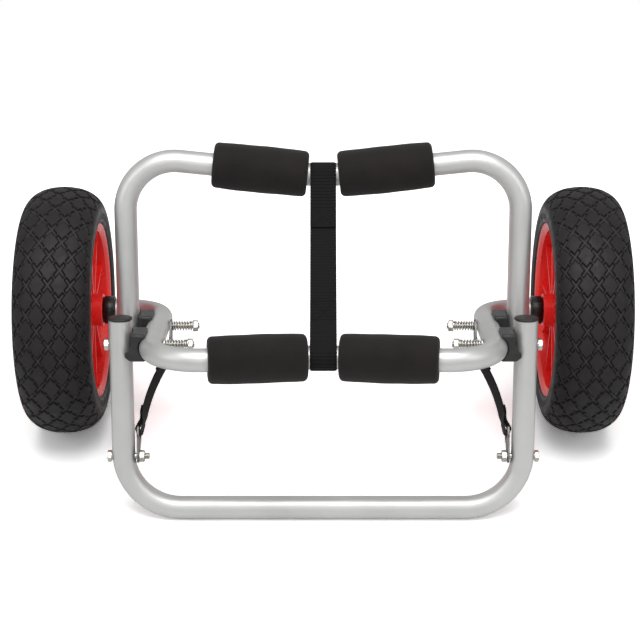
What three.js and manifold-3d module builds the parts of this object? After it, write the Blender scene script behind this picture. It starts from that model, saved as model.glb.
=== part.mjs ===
// Kayak cart: two wide airless wheels carry a bent tube arm frame. An upper frame and a stand
// frame turn on sprung bolts at its sides, and two padded, dipped crossbars hold the hull.
// Millimetres, +Z up, +X to the right, -Y towards the padded front crossbar.
import * as THREE from "three";
import { mergeVertices } from "three/addons/utils/BufferGeometryUtils.js";
import Module from "manifold-3d";

const wasm = await Module();
wasm.setup();

// Shared clearances
const seat_gap = 0.3;
const running_gap = 0.08;
const cut_overrun = 3;

// Tube frames
const tube_radius = 11;
const tube_wall = 1.5;
const tube_sides = 12;
const bend_steps = 5;
const frame_lean = THREE.MathUtils.degToRad(17.09);
const dip_angle = THREE.MathUtils.degToRad(5.9);
const dip_bend_radius = 120;
const crossbar_bend_radius = 48;
const stand_bend_radius = 54;
const axle_bend_radius = 37;
const arm_spacing = 161;
const arm_to_leg = 29.3;
const arm_reach = 199.5;
const upper_pivot_reach = 66.5;
const stand_pivot_setback = 62;
const upper_height = 168;
const upper_leg_tail = 14;
const stand_leg_top = 24;
const limit_bolt_rise = 51.74;

// Wheels
const tyre_radius = 125;
const tyre_half_width = 38;
const tyre_widest_radius = 99;
const tyre_sides = 36;
const tyre_crown_steps = 5;
const tyre_crown_fullness = 2.8;
const leg_to_wheel = 70.7;
const rim_seat_radius = 84;
const rim_edge_radius = 88.5;
const rim_half_width = 35.3;
const rim_wall = 3.5;
const rim_sides = 24;
const rim_web_half = 2.5;
const rim_web_radius = 70;
const rim_cone_depth = 10;
const rib_count = 10;
const rib_thickness = 2.6;
const rib_half_height = 28.5;
const first_rib_turns = {
  right: THREE.MathUtils.degToRad(25),
  left: THREE.MathUtils.degToRad(5),
};
const hub_radius = 16.5;
const hub_half_length = 38.3;
const hub_bush_wall = 2.2;

// Axle, its plastic end bush, washer and clip
const axle_radius = 6;
const axle_sides = 16;
const axle_inner_depth = 12;
const axle_outer_tail = 9;
const end_bush_radius = 14.3;
const end_bush_length = 12;
const end_bush_chamfer = 1.2;
const axle_washer_radius = 12;
const axle_washer_thickness = 1.6;
const clip_wire_radius = 1;
const clip_wire_sides = 6;
const clip_end_space = 2;
const clip_leg_below = 14;
const clip_leg_above = 14;
const clip_bow_width = 12;
const clip_bend_radius = 4;

// Foam pads
const pad_radius = 22.9;
const pad_start = 15;
const pad_to_arm = 55;
const pad_edge_radius = 4.5;
const pad_crown = 0.7;
const pad_sides = 18;

// Saddle spacers between the arm and the legs
const spacer_half_height = 13.3;
const spacer_half_depth = 16;
const spacer_from_arm = 5.2;
const spacer_to_leg = 5.3;
const spacer_chamfer_across = 4.6;
const spacer_chamfer_up = 4.6;
const saddle_sides = 20;
const fold_sweep = THREE.MathUtils.degToRad(68);

// Bolts, nuts, washers and springs
const bolt_radius = 3;
const bolt_sides = 10;
const bolt_hole_radius = 3.5;
const hex_across_flats = 10;
const bolt_head_height = 4;
const nut_height = 5;
const nut_flange_radius = 5.8;
const nut_flange_thickness = 1.4;
const bolt_past_arm = 29;
const nut_thread_tail = 1.4;
const limit_thread_tail = 4.5;
const washer_radius = 6.2;
const washer_thickness = 1.6;
const washer_sides = 14;
const spring_wire_radius = 0.65;
const spring_wire_sides = 5;
const spring_mean_radius = 4.2;
const spring_curls = 6;
const spring_curl_steps = 8;
const spring_turn_steps = 3;
const least_self_gap = 0.4;

// End plugs
const plug_head_radius = 11.7;
const plug_head_thickness = 2.6;
const plug_dome = 0.8;
const plug_depth = 7;
const plug_sides = 14;

// Webbing and its steel links
const webbing_thickness = 1.6;
const hull_strap_width = 25;
const hull_loop_length = 30;
const hull_sewn_length = 58;
const limit_strap_width = 20;
const limit_loop_length = 9;
const limit_sewn_length = 24;
const loop_steps = 6;
const link_thickness = 2;
const link_eye_radius = 6.5;
const link_eye_steps = 6;
const link_bar_place = 25;
const link_bar_half = 1.5;
const link_leg_gap = 1.75;
const link_slot_length = 5.5;
const link_slot_half_width = 10.6;
const link_rail_width = 2.6;

// Sizes that follow from the ones above
const tube_bore = tube_radius - tube_wall;
const foot_height = tube_radius * Math.cos(Math.PI / tube_sides);
const leg_spacing = arm_spacing + arm_to_leg;
const wheel_centre = leg_spacing + leg_to_wheel;
const stand_pivot_reach = arm_reach - stand_pivot_setback;
const stand_drop =
  (tyre_radius + stand_pivot_reach * Math.sin(frame_lean) - foot_height) / Math.cos(frame_lean);
const limit_bolt_drop = stand_drop - limit_bolt_rise;
const hub_inner_face = wheel_centre - hub_half_length;
const hub_outer_face = wheel_centre + hub_half_length;
const end_bush_face = hub_inner_face - seat_gap;
const arm_tube_end = end_bush_face - end_bush_length;
const arm_inner_side = arm_spacing - tube_radius;
const leg_inner_side = leg_spacing - tube_radius;
const leg_outer_side = leg_spacing + tube_radius;
const dip_bend_rise = dip_bend_radius * (1 / Math.cos(dip_angle) - 1);
const upper_centre_height = upper_height - leg_spacing * Math.tan(dip_angle) + dip_bend_rise;
const arm_centre_reach = arm_reach - arm_spacing * Math.tan(dip_angle) + dip_bend_rise;
const saddle_radius = tube_radius + seat_gap;
const loop_flatness = Math.cos(Math.PI / 2 / loop_steps);
const hull_loop_radius = (tube_radius + dip_bend_rise + seat_gap) / loop_flatness;
const pad_bore = tube_radius + seat_gap;
const pad_length = arm_spacing - pad_start - pad_to_arm;
const spacer_inner_face = arm_spacing + spacer_from_arm;
const spacer_outer_face = leg_spacing - spacer_to_leg;
const bolt_inner_end = arm_inner_side - bolt_past_arm;

// Materials, one for each sub-part that is made
const finishes = {
  tube: { color: 0xc9c9c7, roughness: 0.38, metalness: 0.85 },
  steel: { color: 0xb9b6ae, roughness: 0.3, metalness: 0.95 },
  foam: { color: 0x1d1b1a, roughness: 0.92, metalness: 0 },
  plastic: { color: 0x2b2a2c, roughness: 0.55, metalness: 0 },
  webbing: { color: 0x131214, roughness: 0.9, metalness: 0 },
  tyre: { color: 0x232225, roughness: 0.8, metalness: 0 },
  rim: { color: 0xc4100f, roughness: 0.35, metalness: 0 },
};

// A closed geometry as a solid whose shared vertices are merged.
function solidOf(geometry) {
  const bare = geometry.clone();
  bare.deleteAttribute("normal");
  bare.deleteAttribute("uv");
  const merged = mergeVertices(bare);
  return new wasm.Manifold(
    new wasm.Mesh({
      numProp: 3,
      vertProperties: merged.attributes.position.array,
      triVerts: new Uint32Array(merged.index.array),
    }),
  );
}

// A solid back as a geometry.
function geometryOf(solid) {
  const mesh = solid.getMesh();
  const geometry = new THREE.BufferGeometry();
  geometry.setAttribute("position", new THREE.BufferAttribute(mesh.vertProperties, 3));
  geometry.setIndex(new THREE.BufferAttribute(mesh.triVerts, 1));
  geometry.computeVertexNormals();
  return geometry;
}

function cut(geometry, tools) {
  return geometryOf(tools.reduce((body, tool) => body.subtract(solidOf(tool)), solidOf(geometry)));
}

function join(geometries) {
  const [first, ...others] = geometries.map(solidOf);
  return geometryOf(others.reduce((body, other) => body.add(other), first));
}

function part(name, finish, geometry) {
  const mesh = new THREE.Mesh(geometry, new THREE.MeshStandardMaterial(finishes[finish]));
  mesh.name = name;
  return mesh;
}

// Points of a regular outline. Its flats, not its corners, face along the axes when turn is 0.
function ringPoints(radius, sides, turn = 0) {
  return Array.from({ length: sides }, (_, side) => {
    const angle = turn + ((side + 1 / 2) * 2 * Math.PI) / sides;
    return new THREE.Vector2(radius * Math.cos(angle), radius * Math.sin(angle));
  });
}

// A cylinder along X from one place to another, with flats facing up and down.
function rodAlongX(radius, from, to, sides) {
  return new THREE.CylinderGeometry(radius, radius, to - from, sides)
    .rotateY(Math.PI / sides)
    .rotateZ(-Math.PI / 2)
    .translate((from + to) / 2, 0, 0);
}

// A body turned about X from points given as [place along X, radius].
function turnedAboutX(profile, sides) {
  const points = profile.map(([along, radius]) => new THREE.Vector2(radius, along));
  return new THREE.LatheGeometry(points, sides).rotateZ(-Math.PI / 2);
}

// A path with one ring at each end of its straights and evenly spaced rings in its bends.
class BentPath extends THREE.Curve {
  constructor(corners, radii) {
    super();
    this.rings = [];
    const last = corners.length - 1;
    corners.forEach((corner, index) => {
      if (index === 0 || index === last) {
        const from = index === 0 ? corner : corners[index - 1];
        const to = index === 0 ? corners[1] : corner;
        this.rings.push({ point: corner, tangent: to.clone().sub(from).normalize() });
        return;
      }
      this.addBend(corners[index - 1], corner, corners[index + 1], radii[index - 1]);
    });
  }

  addBend(before, corner, after, radius) {
    const inward = corner.clone().sub(before).normalize();
    const outward = after.clone().sub(corner).normalize();
    const turn = inward.angleTo(outward);
    const axis = inward.clone().cross(outward).normalize();
    const start = corner.clone().addScaledVector(inward, -radius * Math.tan(turn / 2));
    const centre = start.clone().addScaledVector(axis.clone().cross(inward), radius);
    const steps = Math.max(2, Math.ceil((bend_steps * turn * 2) / Math.PI));
    for (let step = 0; step <= steps; step += 1) {
      const angle = (turn * step) / steps;
      const point = start.clone().sub(centre).applyAxisAngle(axis, angle).add(centre);
      this.rings.push({ point, tangent: inward.clone().applyAxisAngle(axis, angle) });
    }
  }

  ringAt(share) {
    return this.rings[Math.round(share * (this.rings.length - 1))];
  }

  getPointAt(share) {
    return this.ringAt(share).point.clone();
  }

  getTangentAt(share) {
    return this.ringAt(share).tangent.clone();
  }
}

// A round bar or, with a bore, a round tube along a bent path.
function sweep(corners, radii, radius, sides, bore = 0, turn = 0) {
  const path = new BentPath(corners, radii);
  const section = new THREE.Shape(ringPoints(radius, sides, turn));
  if (bore > 0) section.holes.push(new THREE.Path(ringPoints(bore, sides, turn)));
  return new THREE.ExtrudeGeometry(section, { steps: path.rings.length - 1, extrudePath: path });
}

function boltHole(reach, height, from, to) {
  return rodAlongX(bolt_hole_radius, from - cut_overrun, to + cut_overrun, bolt_sides).translate(
    0,
    -reach,
    height,
  );
}

// In the leaning frame, -Y runs along the arms and +Z up the legs, from the axle's middle.
function upperFrame() {
  const tail = -upper_leg_tail;
  const corners = [
    new THREE.Vector3(leg_spacing, 0, tail),
    new THREE.Vector3(leg_spacing, 0, upper_height),
    new THREE.Vector3(0, 0, upper_centre_height - dip_bend_rise),
    new THREE.Vector3(-leg_spacing, 0, upper_height),
    new THREE.Vector3(-leg_spacing, 0, tail),
  ];
  const radii = [crossbar_bend_radius, dip_bend_radius, crossbar_bend_radius];
  const tube = sweep(corners, radii, tube_radius, tube_sides, tube_bore);
  const drilled = cut(tube, [boltHole(0, 0, -leg_outer_side, leg_outer_side)]);
  return drilled.translate(0, -upper_pivot_reach, 0);
}

function armFrame() {
  const corners = [
    new THREE.Vector3(arm_tube_end, 0, 0),
    new THREE.Vector3(arm_spacing, 0, 0),
    new THREE.Vector3(arm_spacing, -arm_reach, 0),
    new THREE.Vector3(0, dip_bend_rise - arm_centre_reach, 0),
    new THREE.Vector3(-arm_spacing, -arm_reach, 0),
    new THREE.Vector3(-arm_spacing, 0, 0),
    new THREE.Vector3(-arm_tube_end, 0, 0),
  ];
  const radii = [
    axle_bend_radius,
    crossbar_bend_radius,
    dip_bend_radius,
    crossbar_bend_radius,
    axle_bend_radius,
  ];
  const tube = sweep(corners, radii, tube_radius, tube_sides, tube_bore);
  const holes = [upper_pivot_reach, stand_pivot_reach].map((reach) =>
    boltHole(reach, 0, -arm_spacing - tube_radius, arm_spacing + tube_radius),
  );
  return cut(tube, holes);
}

// The stand's section is turned so that one flat of its crossbar lies on the ground.
function standFrame() {
  const corners = [
    new THREE.Vector3(leg_spacing, 0, stand_leg_top),
    new THREE.Vector3(leg_spacing, 0, -stand_drop),
    new THREE.Vector3(-leg_spacing, 0, -stand_drop),
    new THREE.Vector3(-leg_spacing, 0, stand_leg_top),
  ];
  const radii = [stand_bend_radius, stand_bend_radius];
  const tube = sweep(corners, radii, tube_radius, tube_sides, tube_bore, -frame_lean);
  const drilled = cut(tube, [
    boltHole(0, 0, -leg_outer_side, leg_outer_side),
    boltHole(0, -limit_bolt_drop, -leg_outer_side, leg_outer_side),
  ]);
  return drilled.translate(0, -stand_pivot_reach, 0);
}

// A foam sleeve with rounded ends and a slight crown, along a dipped crossbar on the right.
function padSleeve() {
  const half = pad_length / 2;
  const profile = [
    [-half, pad_bore],
    [-half, pad_radius - pad_crown - pad_edge_radius],
    [-half + pad_edge_radius, pad_radius - pad_crown],
    [0, pad_radius],
    [half - pad_edge_radius, pad_radius - pad_crown],
    [half, pad_radius - pad_crown - pad_edge_radius],
    [half, pad_bore],
    [-half, pad_bore],
  ];
  return turnedAboutX(profile, pad_sides).translate(pad_start + half, 0, 0);
}

function upperPad() {
  return padSleeve()
    .rotateY(-dip_angle)
    .translate(0, -upper_pivot_reach, upper_centre_height - dip_bend_rise);
}

function armPad() {
  return padSleeve()
    .rotateZ(-dip_angle)
    .translate(0, dip_bend_rise - arm_centre_reach, 0);
}

// A plastic plug whose head covers a tube end, with its head towards +Z.
function tubePlug(head_radius) {
  const fit = tube_bore * Math.cos(Math.PI / tube_sides) - seat_gap;
  const profile = [
    [0, -plug_depth],
    [fit, -plug_depth],
    [fit, seat_gap],
    [head_radius, seat_gap],
    [head_radius, plug_head_thickness - plug_dome],
    [head_radius - plug_dome, plug_head_thickness],
    [0, plug_head_thickness],
  ];
  const points = profile.map(([radius, height]) => new THREE.Vector2(radius, height));
  return new THREE.LatheGeometry(points, plug_sides).rotateX(Math.PI / 2);
}

function upperPlug() {
  return tubePlug(tube_radius)
    .rotateX(Math.PI)
    .translate(leg_spacing, -upper_pivot_reach, -upper_leg_tail);
}

function standPlug() {
  return tubePlug(plug_head_radius).translate(leg_spacing, -stand_pivot_reach, stand_leg_top);
}

// A moulded block with a round seat for the arm on one side and for the leg on the other. The
// leg's seat is opened where the leg turns, so two corners of it stand as stops.
function saddleSpacer(reach) {
  const outline = new THREE.Shape([
    new THREE.Vector2(spacer_inner_face, -spacer_half_height),
    new THREE.Vector2(spacer_outer_face - spacer_chamfer_across, -spacer_half_height),
    new THREE.Vector2(spacer_outer_face, spacer_chamfer_up - spacer_half_height),
    new THREE.Vector2(spacer_outer_face, spacer_half_height - spacer_chamfer_up),
    new THREE.Vector2(spacer_outer_face - spacer_chamfer_across, spacer_half_height),
    new THREE.Vector2(spacer_inner_face, spacer_half_height),
  ]);
  const block = new THREE.ExtrudeGeometry(outline, {
    depth: 2 * spacer_half_depth,
    bevelEnabled: false,
  });
  block.translate(0, 0, -spacer_half_depth).rotateX(Math.PI / 2);
  const seat_length = 4 * (spacer_half_height + cut_overrun);
  const arm_seat = new THREE.CylinderGeometry(saddle_radius, saddle_radius, seat_length, saddle_sides);
  arm_seat.translate(arm_spacing, 0, 0);
  const leg_seats = [0, fold_sweep].map((turn) =>
    new THREE.CylinderGeometry(saddle_radius, saddle_radius, seat_length, saddle_sides)
      .rotateX(Math.PI / 2 + turn)
      .translate(leg_spacing, 0, 0),
  );
  const sweep_reach = 2 * spacer_half_height;
  const sectors = [1, -1].map((way) => {
    const sector = new THREE.Shape([
      new THREE.Vector2(),
      new THREE.Vector2(0, way * sweep_reach),
      new THREE.Vector2(
        -way * sweep_reach * Math.sin(fold_sweep),
        way * sweep_reach * Math.cos(fold_sweep),
      ),
    ]);
    const depth = spacer_outer_face - leg_inner_side + cut_overrun;
    return new THREE.ExtrudeGeometry(sector, { depth, bevelEnabled: false })
      .rotateX(Math.PI / 2)
      .rotateZ(Math.PI / 2)
      .translate(leg_inner_side - seat_gap, 0, 0);
  });
  const hole = boltHole(0, 0, arm_spacing, leg_spacing);
  return cut(block, [arm_seat, ...leg_seats, ...sectors, hole]).translate(0, -reach, 0);
}

function hexPrism(from, to) {
  return rodAlongX(hex_across_flats / 2 / Math.cos(Math.PI / 6), from, to, 6);
}

// A hex bolt along X with its head outside.
function hexBolt(inner_end, head_face) {
  return join([
    rodAlongX(bolt_radius, inner_end, head_face + bolt_head_height / 2, bolt_sides),
    hexPrism(head_face, head_face + bolt_head_height),
  ]);
}

// A hex nut along X whose flange faces +X.
function flangeNut(inner_face) {
  const outer_face = inner_face + nut_height;
  const body = join([
    hexPrism(inner_face, outer_face),
    rodAlongX(nut_flange_radius, outer_face - nut_flange_thickness, outer_face, washer_sides),
  ]);
  return cut(body, [boltHole(0, 0, inner_face, outer_face)]);
}

function washer(radius, bore, from, thickness) {
  const profile = [
    [from, bore],
    [from, radius],
    [from + thickness, radius],
    [from + thickness, bore],
    [from, bore],
  ];
  return turnedAboutX(profile, washer_sides);
}

// The spring's centre line: a straight end, a turn into the helix, the curls, and the same back.
function springRings(from, to) {
  const wire = 2 * spring_wire_radius;
  const rise = (to - from - 4 * wire) / spring_curls / 2 / Math.PI;
  const pitch_angle = Math.atan(rise / spring_mean_radius);
  const quarter = Math.PI / 2 - pitch_angle;
  const helix = [];
  for (let step = 0; step <= spring_curls * spring_curl_steps; step += 1) {
    const turn = (step * 2 * Math.PI) / spring_curl_steps;
    const radial = new THREE.Vector3(0, Math.cos(turn), Math.sin(turn));
    const around = new THREE.Vector3(0, -Math.sin(turn), Math.cos(turn));
    const tangent = around.multiplyScalar(Math.cos(pitch_angle));
    tangent.x = Math.sin(pitch_angle);
    const point = radial.clone().multiplyScalar(spring_mean_radius);
    point.x = from + 2 * wire + rise * turn;
    helix.push({ point, tangent, radial });
  }
  const end = (ring, way) => {
    const rings = [];
    const inward = ring.tangent.clone().cross(ring.radial).normalize();
    const centre_way = new THREE.Vector3().crossVectors(ring.radial, ring.tangent).normalize();
    const bend = wire / 2 + spring_wire_radius;
    const side = centre_way.x * way > 0 ? centre_way : inward;
    const centre = ring.point.clone().addScaledVector(side, bend);
    for (let step = 1; step <= spring_turn_steps; step += 1) {
      const angle = (quarter * step) / spring_turn_steps;
      const point = centre
        .clone()
        .addScaledVector(side, -bend * Math.cos(angle))
        .addScaledVector(ring.tangent, way * bend * Math.sin(angle));
      const tangent = ring.tangent
        .clone()
        .multiplyScalar(Math.cos(angle))
        .addScaledVector(side, way * Math.sin(angle));
      rings.push({ point, tangent, radial: ring.radial });
    }
    const last = rings[rings.length - 1].point.clone();
    last.x = way > 0 ? to : from;
    rings.push({ point: last, tangent: new THREE.Vector3(1, 0, 0), radial: ring.radial });
    return rings;
  };
  const first = end(helix[0], -1).reverse();
  return [...first, ...helix, ...end(helix[helix.length - 1], 1)];
}

// The least gap between curls, measured on the centre line's points.
function leastSelfGap(rings) {
  const apart = spring_curl_steps / 2;
  let least = Infinity;
  rings.forEach((ring, index) => {
    rings.slice(index + apart).forEach((other) => {
      least = Math.min(least, ring.point.distanceTo(other.point) - 2 * spring_wire_radius);
    });
  });
  return least;
}

// One unbroken wire through the rings, closed at both ends.
function wireThrough(rings, radius, sides) {
  const places = [];
  rings.forEach(({ point, tangent, radial }) => {
    const across = new THREE.Vector3().crossVectors(tangent, radial).normalize();
    const outward = new THREE.Vector3().crossVectors(across, tangent).normalize();
    ringPoints(radius, sides).forEach((corner) => {
      const place = point.clone().addScaledVector(outward, corner.x).addScaledVector(across, corner.y);
      places.push(place.x, place.y, place.z);
    });
  });
  const faces = [];
  for (let ring = 0; ring < rings.length - 1; ring += 1) {
    for (let side = 0; side < sides; side += 1) {
      const here = ring * sides + side;
      const beside = ring * sides + ((side + 1) % sides);
      faces.push(here, beside, beside + sides, here, beside + sides, here + sides);
    }
  }
  const final = (rings.length - 1) * sides;
  for (let side = 1; side < sides - 1; side += 1) {
    faces.push(0, side + 1, side);
    faces.push(final, final + side, final + side + 1);
  }
  const geometry = new THREE.BufferGeometry();
  geometry.setAttribute("position", new THREE.Float32BufferAttribute(places, 3));
  geometry.setIndex(faces);
  geometry.computeVertexNormals();
  return geometry;
}

function springBetween(from, to) {
  const rings = springRings(from, to);
  const gap = leastSelfGap(rings);
  console.log("spring: least gap to itself " + gap.toFixed(2) + " mm");
  if (gap <= least_self_gap) throw new Error("the spring's curls are too close");
  return wireThrough(rings, spring_wire_radius, spring_wire_sides);
}

// A flat steel link in the plane of the leg: an eye for the bolt and a slotted end for webbing.
function strapLink() {
  const end = link_bar_place + link_bar_half;
  const half_width = link_slot_half_width + link_rail_width;
  const slot_end = link_bar_place - link_bar_half;
  const shoulder = slot_end - link_slot_length - link_rail_width;
  const outline = new THREE.Shape([
    new THREE.Vector2(shoulder, -half_width),
    new THREE.Vector2(end, -half_width),
    new THREE.Vector2(end, half_width),
    new THREE.Vector2(shoulder, half_width),
    ...Array.from({ length: link_eye_steps + 1 }, (_, step) => {
      const angle = Math.PI / 2 + (Math.PI * step) / link_eye_steps;
      return new THREE.Vector2(Math.cos(angle), Math.sin(angle)).multiplyScalar(link_eye_radius);
    }),
  ]);
  outline.holes.push(new THREE.Path(ringPoints(bolt_hole_radius, bolt_sides)));
  outline.holes.push(
    new THREE.Path([
      new THREE.Vector2(slot_end - link_slot_length, -link_slot_half_width),
      new THREE.Vector2(slot_end, -link_slot_half_width),
      new THREE.Vector2(slot_end, link_slot_half_width),
      new THREE.Vector2(slot_end - link_slot_length, link_slot_half_width),
    ]),
  );
  return new THREE.ExtrudeGeometry(outline, { depth: link_thickness, bevelEnabled: false });
}

// The two ends of a limit strap, in the leaning frame, and the way from the lower to the upper.
const limit_low = new THREE.Vector3(0, -stand_pivot_reach, -limit_bolt_drop);
const limit_high = new THREE.Vector3(0, -upper_pivot_reach, 0);
const limit_way = limit_high.clone().sub(limit_low).normalize();
const limit_low_plate = leg_inner_side - link_leg_gap - link_thickness;
const limit_high_plate = arm_inner_side - seat_gap - link_thickness;

function placeLink(bolt, way, inner_face) {
  const across = new THREE.Vector3(1, 0, 0).cross(way).normalize();
  const basis = new THREE.Matrix4().makeBasis(way, across, new THREE.Vector3(1, 0, 0));
  return strapLink().applyMatrix4(basis).translate(inner_face, bolt.y, bolt.z);
}

// Webbing sewn back on itself round a bar at each end: its outline seen along the bars.
function loopedStrap(length, loops, loop_length, sewn_length, width) {
  const half_outline = (radius, from, way) => {
    const slope = Math.asin(radius / loop_length);
    const meet = loop_length + (webbing_thickness * (1 / Math.cos(slope) - 1)) / Math.tan(slope);
    const outer = radius + webbing_thickness;
    const arc = Array.from({ length: loop_steps + 1 }, (_, step) => {
      const angle = Math.PI - ((Math.PI / 2 + slope) * step) / loop_steps;
      return [from + way * outer * Math.cos(angle), outer * Math.sin(angle)];
    });
    return [
      ...arc,
      [from + way * meet, webbing_thickness],
      [from + way * sewn_length, webbing_thickness],
      [from + way * sewn_length, webbing_thickness / 2],
    ];
  };
  const upper = [
    ...half_outline(loops[0], 0, 1),
    ...half_outline(loops[1], length, -1).reverse(),
  ];
  const lower = upper
    .slice(1, -1)
    .reverse()
    .map(([along, out]) => [along, -out]);
  const points = [...upper, ...lower].map(([along, out]) => new THREE.Vector2(along, out));
  const outline = new THREE.Shape(points.reverse());
  loops.forEach((radius, index) => {
    const from = index === 0 ? 0 : length;
    const way = index === 0 ? 1 : -1;
    const touch = Math.acos(radius / loop_length);
    const hole = Array.from({ length: 2 * loop_steps + 1 }, (_, step) => {
      const angle = touch + ((2 * Math.PI - 2 * touch) * step) / (2 * loop_steps);
      return new THREE.Vector2(from + way * radius * Math.cos(angle), radius * Math.sin(angle));
    });
    outline.holes.push(new THREE.Path([new THREE.Vector2(from + way * loop_length, 0), ...hole]));
  });
  const strap = new THREE.ExtrudeGeometry(outline, { depth: width, bevelEnabled: false });
  return strap.translate(0, 0, -width / 2);
}

// Lays a strap from one bar to another, its width along the bars.
function layStrap(strap, from, to, bars) {
  const along = to.clone().sub(from).normalize();
  const across = bars.clone().normalize();
  const out = across.clone().cross(along).normalize();
  return strap.applyMatrix4(
    new THREE.Matrix4().makeBasis(along, out, across).setPosition(from.x, from.y, from.z),
  );
}

function hullStrap() {
  const from = new THREE.Vector3(0, -upper_pivot_reach, upper_centre_height - dip_bend_rise / 2);
  const to = new THREE.Vector3(0, dip_bend_rise / 2 - arm_centre_reach, 0);
  const loops = [hull_loop_radius, hull_loop_radius];
  const strap = loopedStrap(
    from.distanceTo(to),
    loops,
    hull_loop_length,
    hull_sewn_length,
    hull_strap_width,
  );
  return layStrap(strap, from, to, new THREE.Vector3(1, 0, 0));
}

function limitStrap() {
  const from = limit_low.clone().addScaledVector(limit_way, link_bar_place);
  from.x = limit_low_plate + link_thickness / 2;
  const to = limit_high.clone().addScaledVector(limit_way, -link_bar_place);
  to.x = limit_high_plate + link_thickness / 2;
  const loop = (Math.hypot(link_bar_half, link_thickness / 2) + seat_gap) / loop_flatness;
  const strap = loopedStrap(
    from.distanceTo(to),
    [loop, loop],
    limit_loop_length,
    limit_sewn_length,
    limit_strap_width,
  );
  return layStrap(strap, from, to, new THREE.Vector3(1, 0, 0).cross(limit_way));
}

// Half of the tyre's outline, from the bead over the widest place to the crown, as
// [place along X, radius] from the wheel's middle.
function tyreOutline() {
  const fit = 1 / Math.cos(Math.PI / tyre_sides);
  const bead = (rim_edge_radius + seat_gap) * fit;
  const crown = Array.from({ length: tyre_crown_steps + 1 }, (_, step) => {
    const angle = (Math.PI / 2) * (step / tyre_crown_steps);
    const across = Math.cos(angle) ** (2 / tyre_crown_fullness);
    const up = Math.sin(angle) ** (2 / tyre_crown_fullness);
    return [
      tyre_half_width * across,
      tyre_widest_radius + (tyre_radius - tyre_widest_radius) * up,
    ];
  });
  const bead_place = rim_half_width - seat_gap;
  const flange_foot = rim_half_width - rim_wall - seat_gap;
  return [
    [flange_foot, (rim_seat_radius + seat_gap) * fit],
    [flange_foot, bead],
    [bead_place, bead],
    ...crown,
  ];
}

function tyre() {
  const half = tyreOutline();
  const mirrored = half
    .slice(0, -1)
    .reverse()
    .map(([along, radius]) => [-along, radius]);
  const profile = [...mirrored.reverse(), ...half.slice().reverse()];
  return turnedAboutX([...profile, profile[0]], tyre_sides).translate(wheel_centre, 0, 0);
}

// The rim's one side, from the hub face out over the web and the cone to the seat's middle.
function rimOutline(bore) {
  return [
    [hub_half_length, bore],
    [hub_half_length, hub_radius],
    [rim_web_half, hub_radius],
    [rim_web_half, rim_web_radius],
    [rim_cone_depth, rim_seat_radius - rim_wall - rim_wall / 2],
    [rim_half_width - rim_wall, rim_seat_radius - rim_wall],
    [rim_half_width, rim_edge_radius - rim_wall / 2],
    [rim_half_width, rim_edge_radius],
    [rim_half_width - rim_wall, rim_edge_radius],
    [rim_half_width - rim_wall, rim_seat_radius],
  ];
}

function rimRib(side, index) {
  const inner = hub_radius - rim_wall;
  const outer = rim_seat_radius - rim_wall / 2;
  const outline = new THREE.Shape([
    new THREE.Vector2(inner, -rib_half_height),
    new THREE.Vector2(outer, -rib_half_height),
    new THREE.Vector2(outer, rib_half_height),
    new THREE.Vector2(inner, rib_half_height),
  ]);
  return new THREE.ExtrudeGeometry(outline, { depth: rib_thickness, bevelEnabled: false })
    .translate(0, 0, -rib_thickness / 2)
    .rotateZ(-Math.PI / 2)
    .rotateX(first_rib_turns[side] + (index * 2 * Math.PI) / rib_count);
}

function rim(side) {
  const bush_radius = axle_radius + running_gap + hub_bush_wall;
  const half = rimOutline((bush_radius + seat_gap) / Math.cos(Math.PI / axle_sides));
  const mirrored = half.map(([along, radius]) => [-along, radius]);
  const profile = [...half.slice().reverse(), ...mirrored];
  const body = turnedAboutX([...profile, profile[0]], rim_sides);
  const ribs = Array.from({ length: rib_count }, (_, index) => rimRib(side, index));
  return join([body, ...ribs]).translate(wheel_centre, 0, 0);
}

// A bearing bush that turns with the rim on the axle.
function hubBush() {
  const bore = (axle_radius + running_gap) / Math.cos(Math.PI / axle_sides);
  const outer = axle_radius + running_gap + hub_bush_wall;
  const profile = [
    [hub_inner_face, bore],
    [hub_inner_face, outer],
    [hub_outer_face, outer],
    [hub_outer_face, bore],
    [hub_inner_face, bore],
  ];
  return turnedAboutX(profile, axle_sides);
}

const clip_place = hub_outer_face + axle_washer_thickness + 2 * seat_gap + clip_end_space;

// A steel stub axle, held in the end bush, drilled across for the clip.
function axle() {
  const inner_end = arm_tube_end - axle_inner_depth;
  const rod = rodAlongX(axle_radius, inner_end, hub_outer_face + axle_outer_tail, axle_sides);
  const hole_radius = clip_wire_radius + seat_gap;
  const hole_length = 2 * (axle_radius + cut_overrun);
  const hole = new THREE.CylinderGeometry(hole_radius, hole_radius, hole_length, clip_wire_sides)
    .rotateX(Math.PI / 2)
    .translate(clip_place, 0, 0);
  return cut(rod, [hole]);
}

function endBush() {
  const fit = tube_bore * Math.cos(Math.PI / tube_sides) - seat_gap;
  const bore = (axle_radius + seat_gap) / Math.cos(Math.PI / axle_sides);
  const profile = [
    [arm_tube_end - axle_inner_depth, bore],
    [arm_tube_end - axle_inner_depth, fit],
    [arm_tube_end + seat_gap, fit],
    [arm_tube_end + seat_gap, end_bush_radius],
    [end_bush_face - end_bush_chamfer, end_bush_radius],
    [end_bush_face, end_bush_radius - end_bush_chamfer],
    [end_bush_face, bore],
    [arm_tube_end - axle_inner_depth, bore],
  ];
  return turnedAboutX(profile, axle_sides);
}

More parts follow.
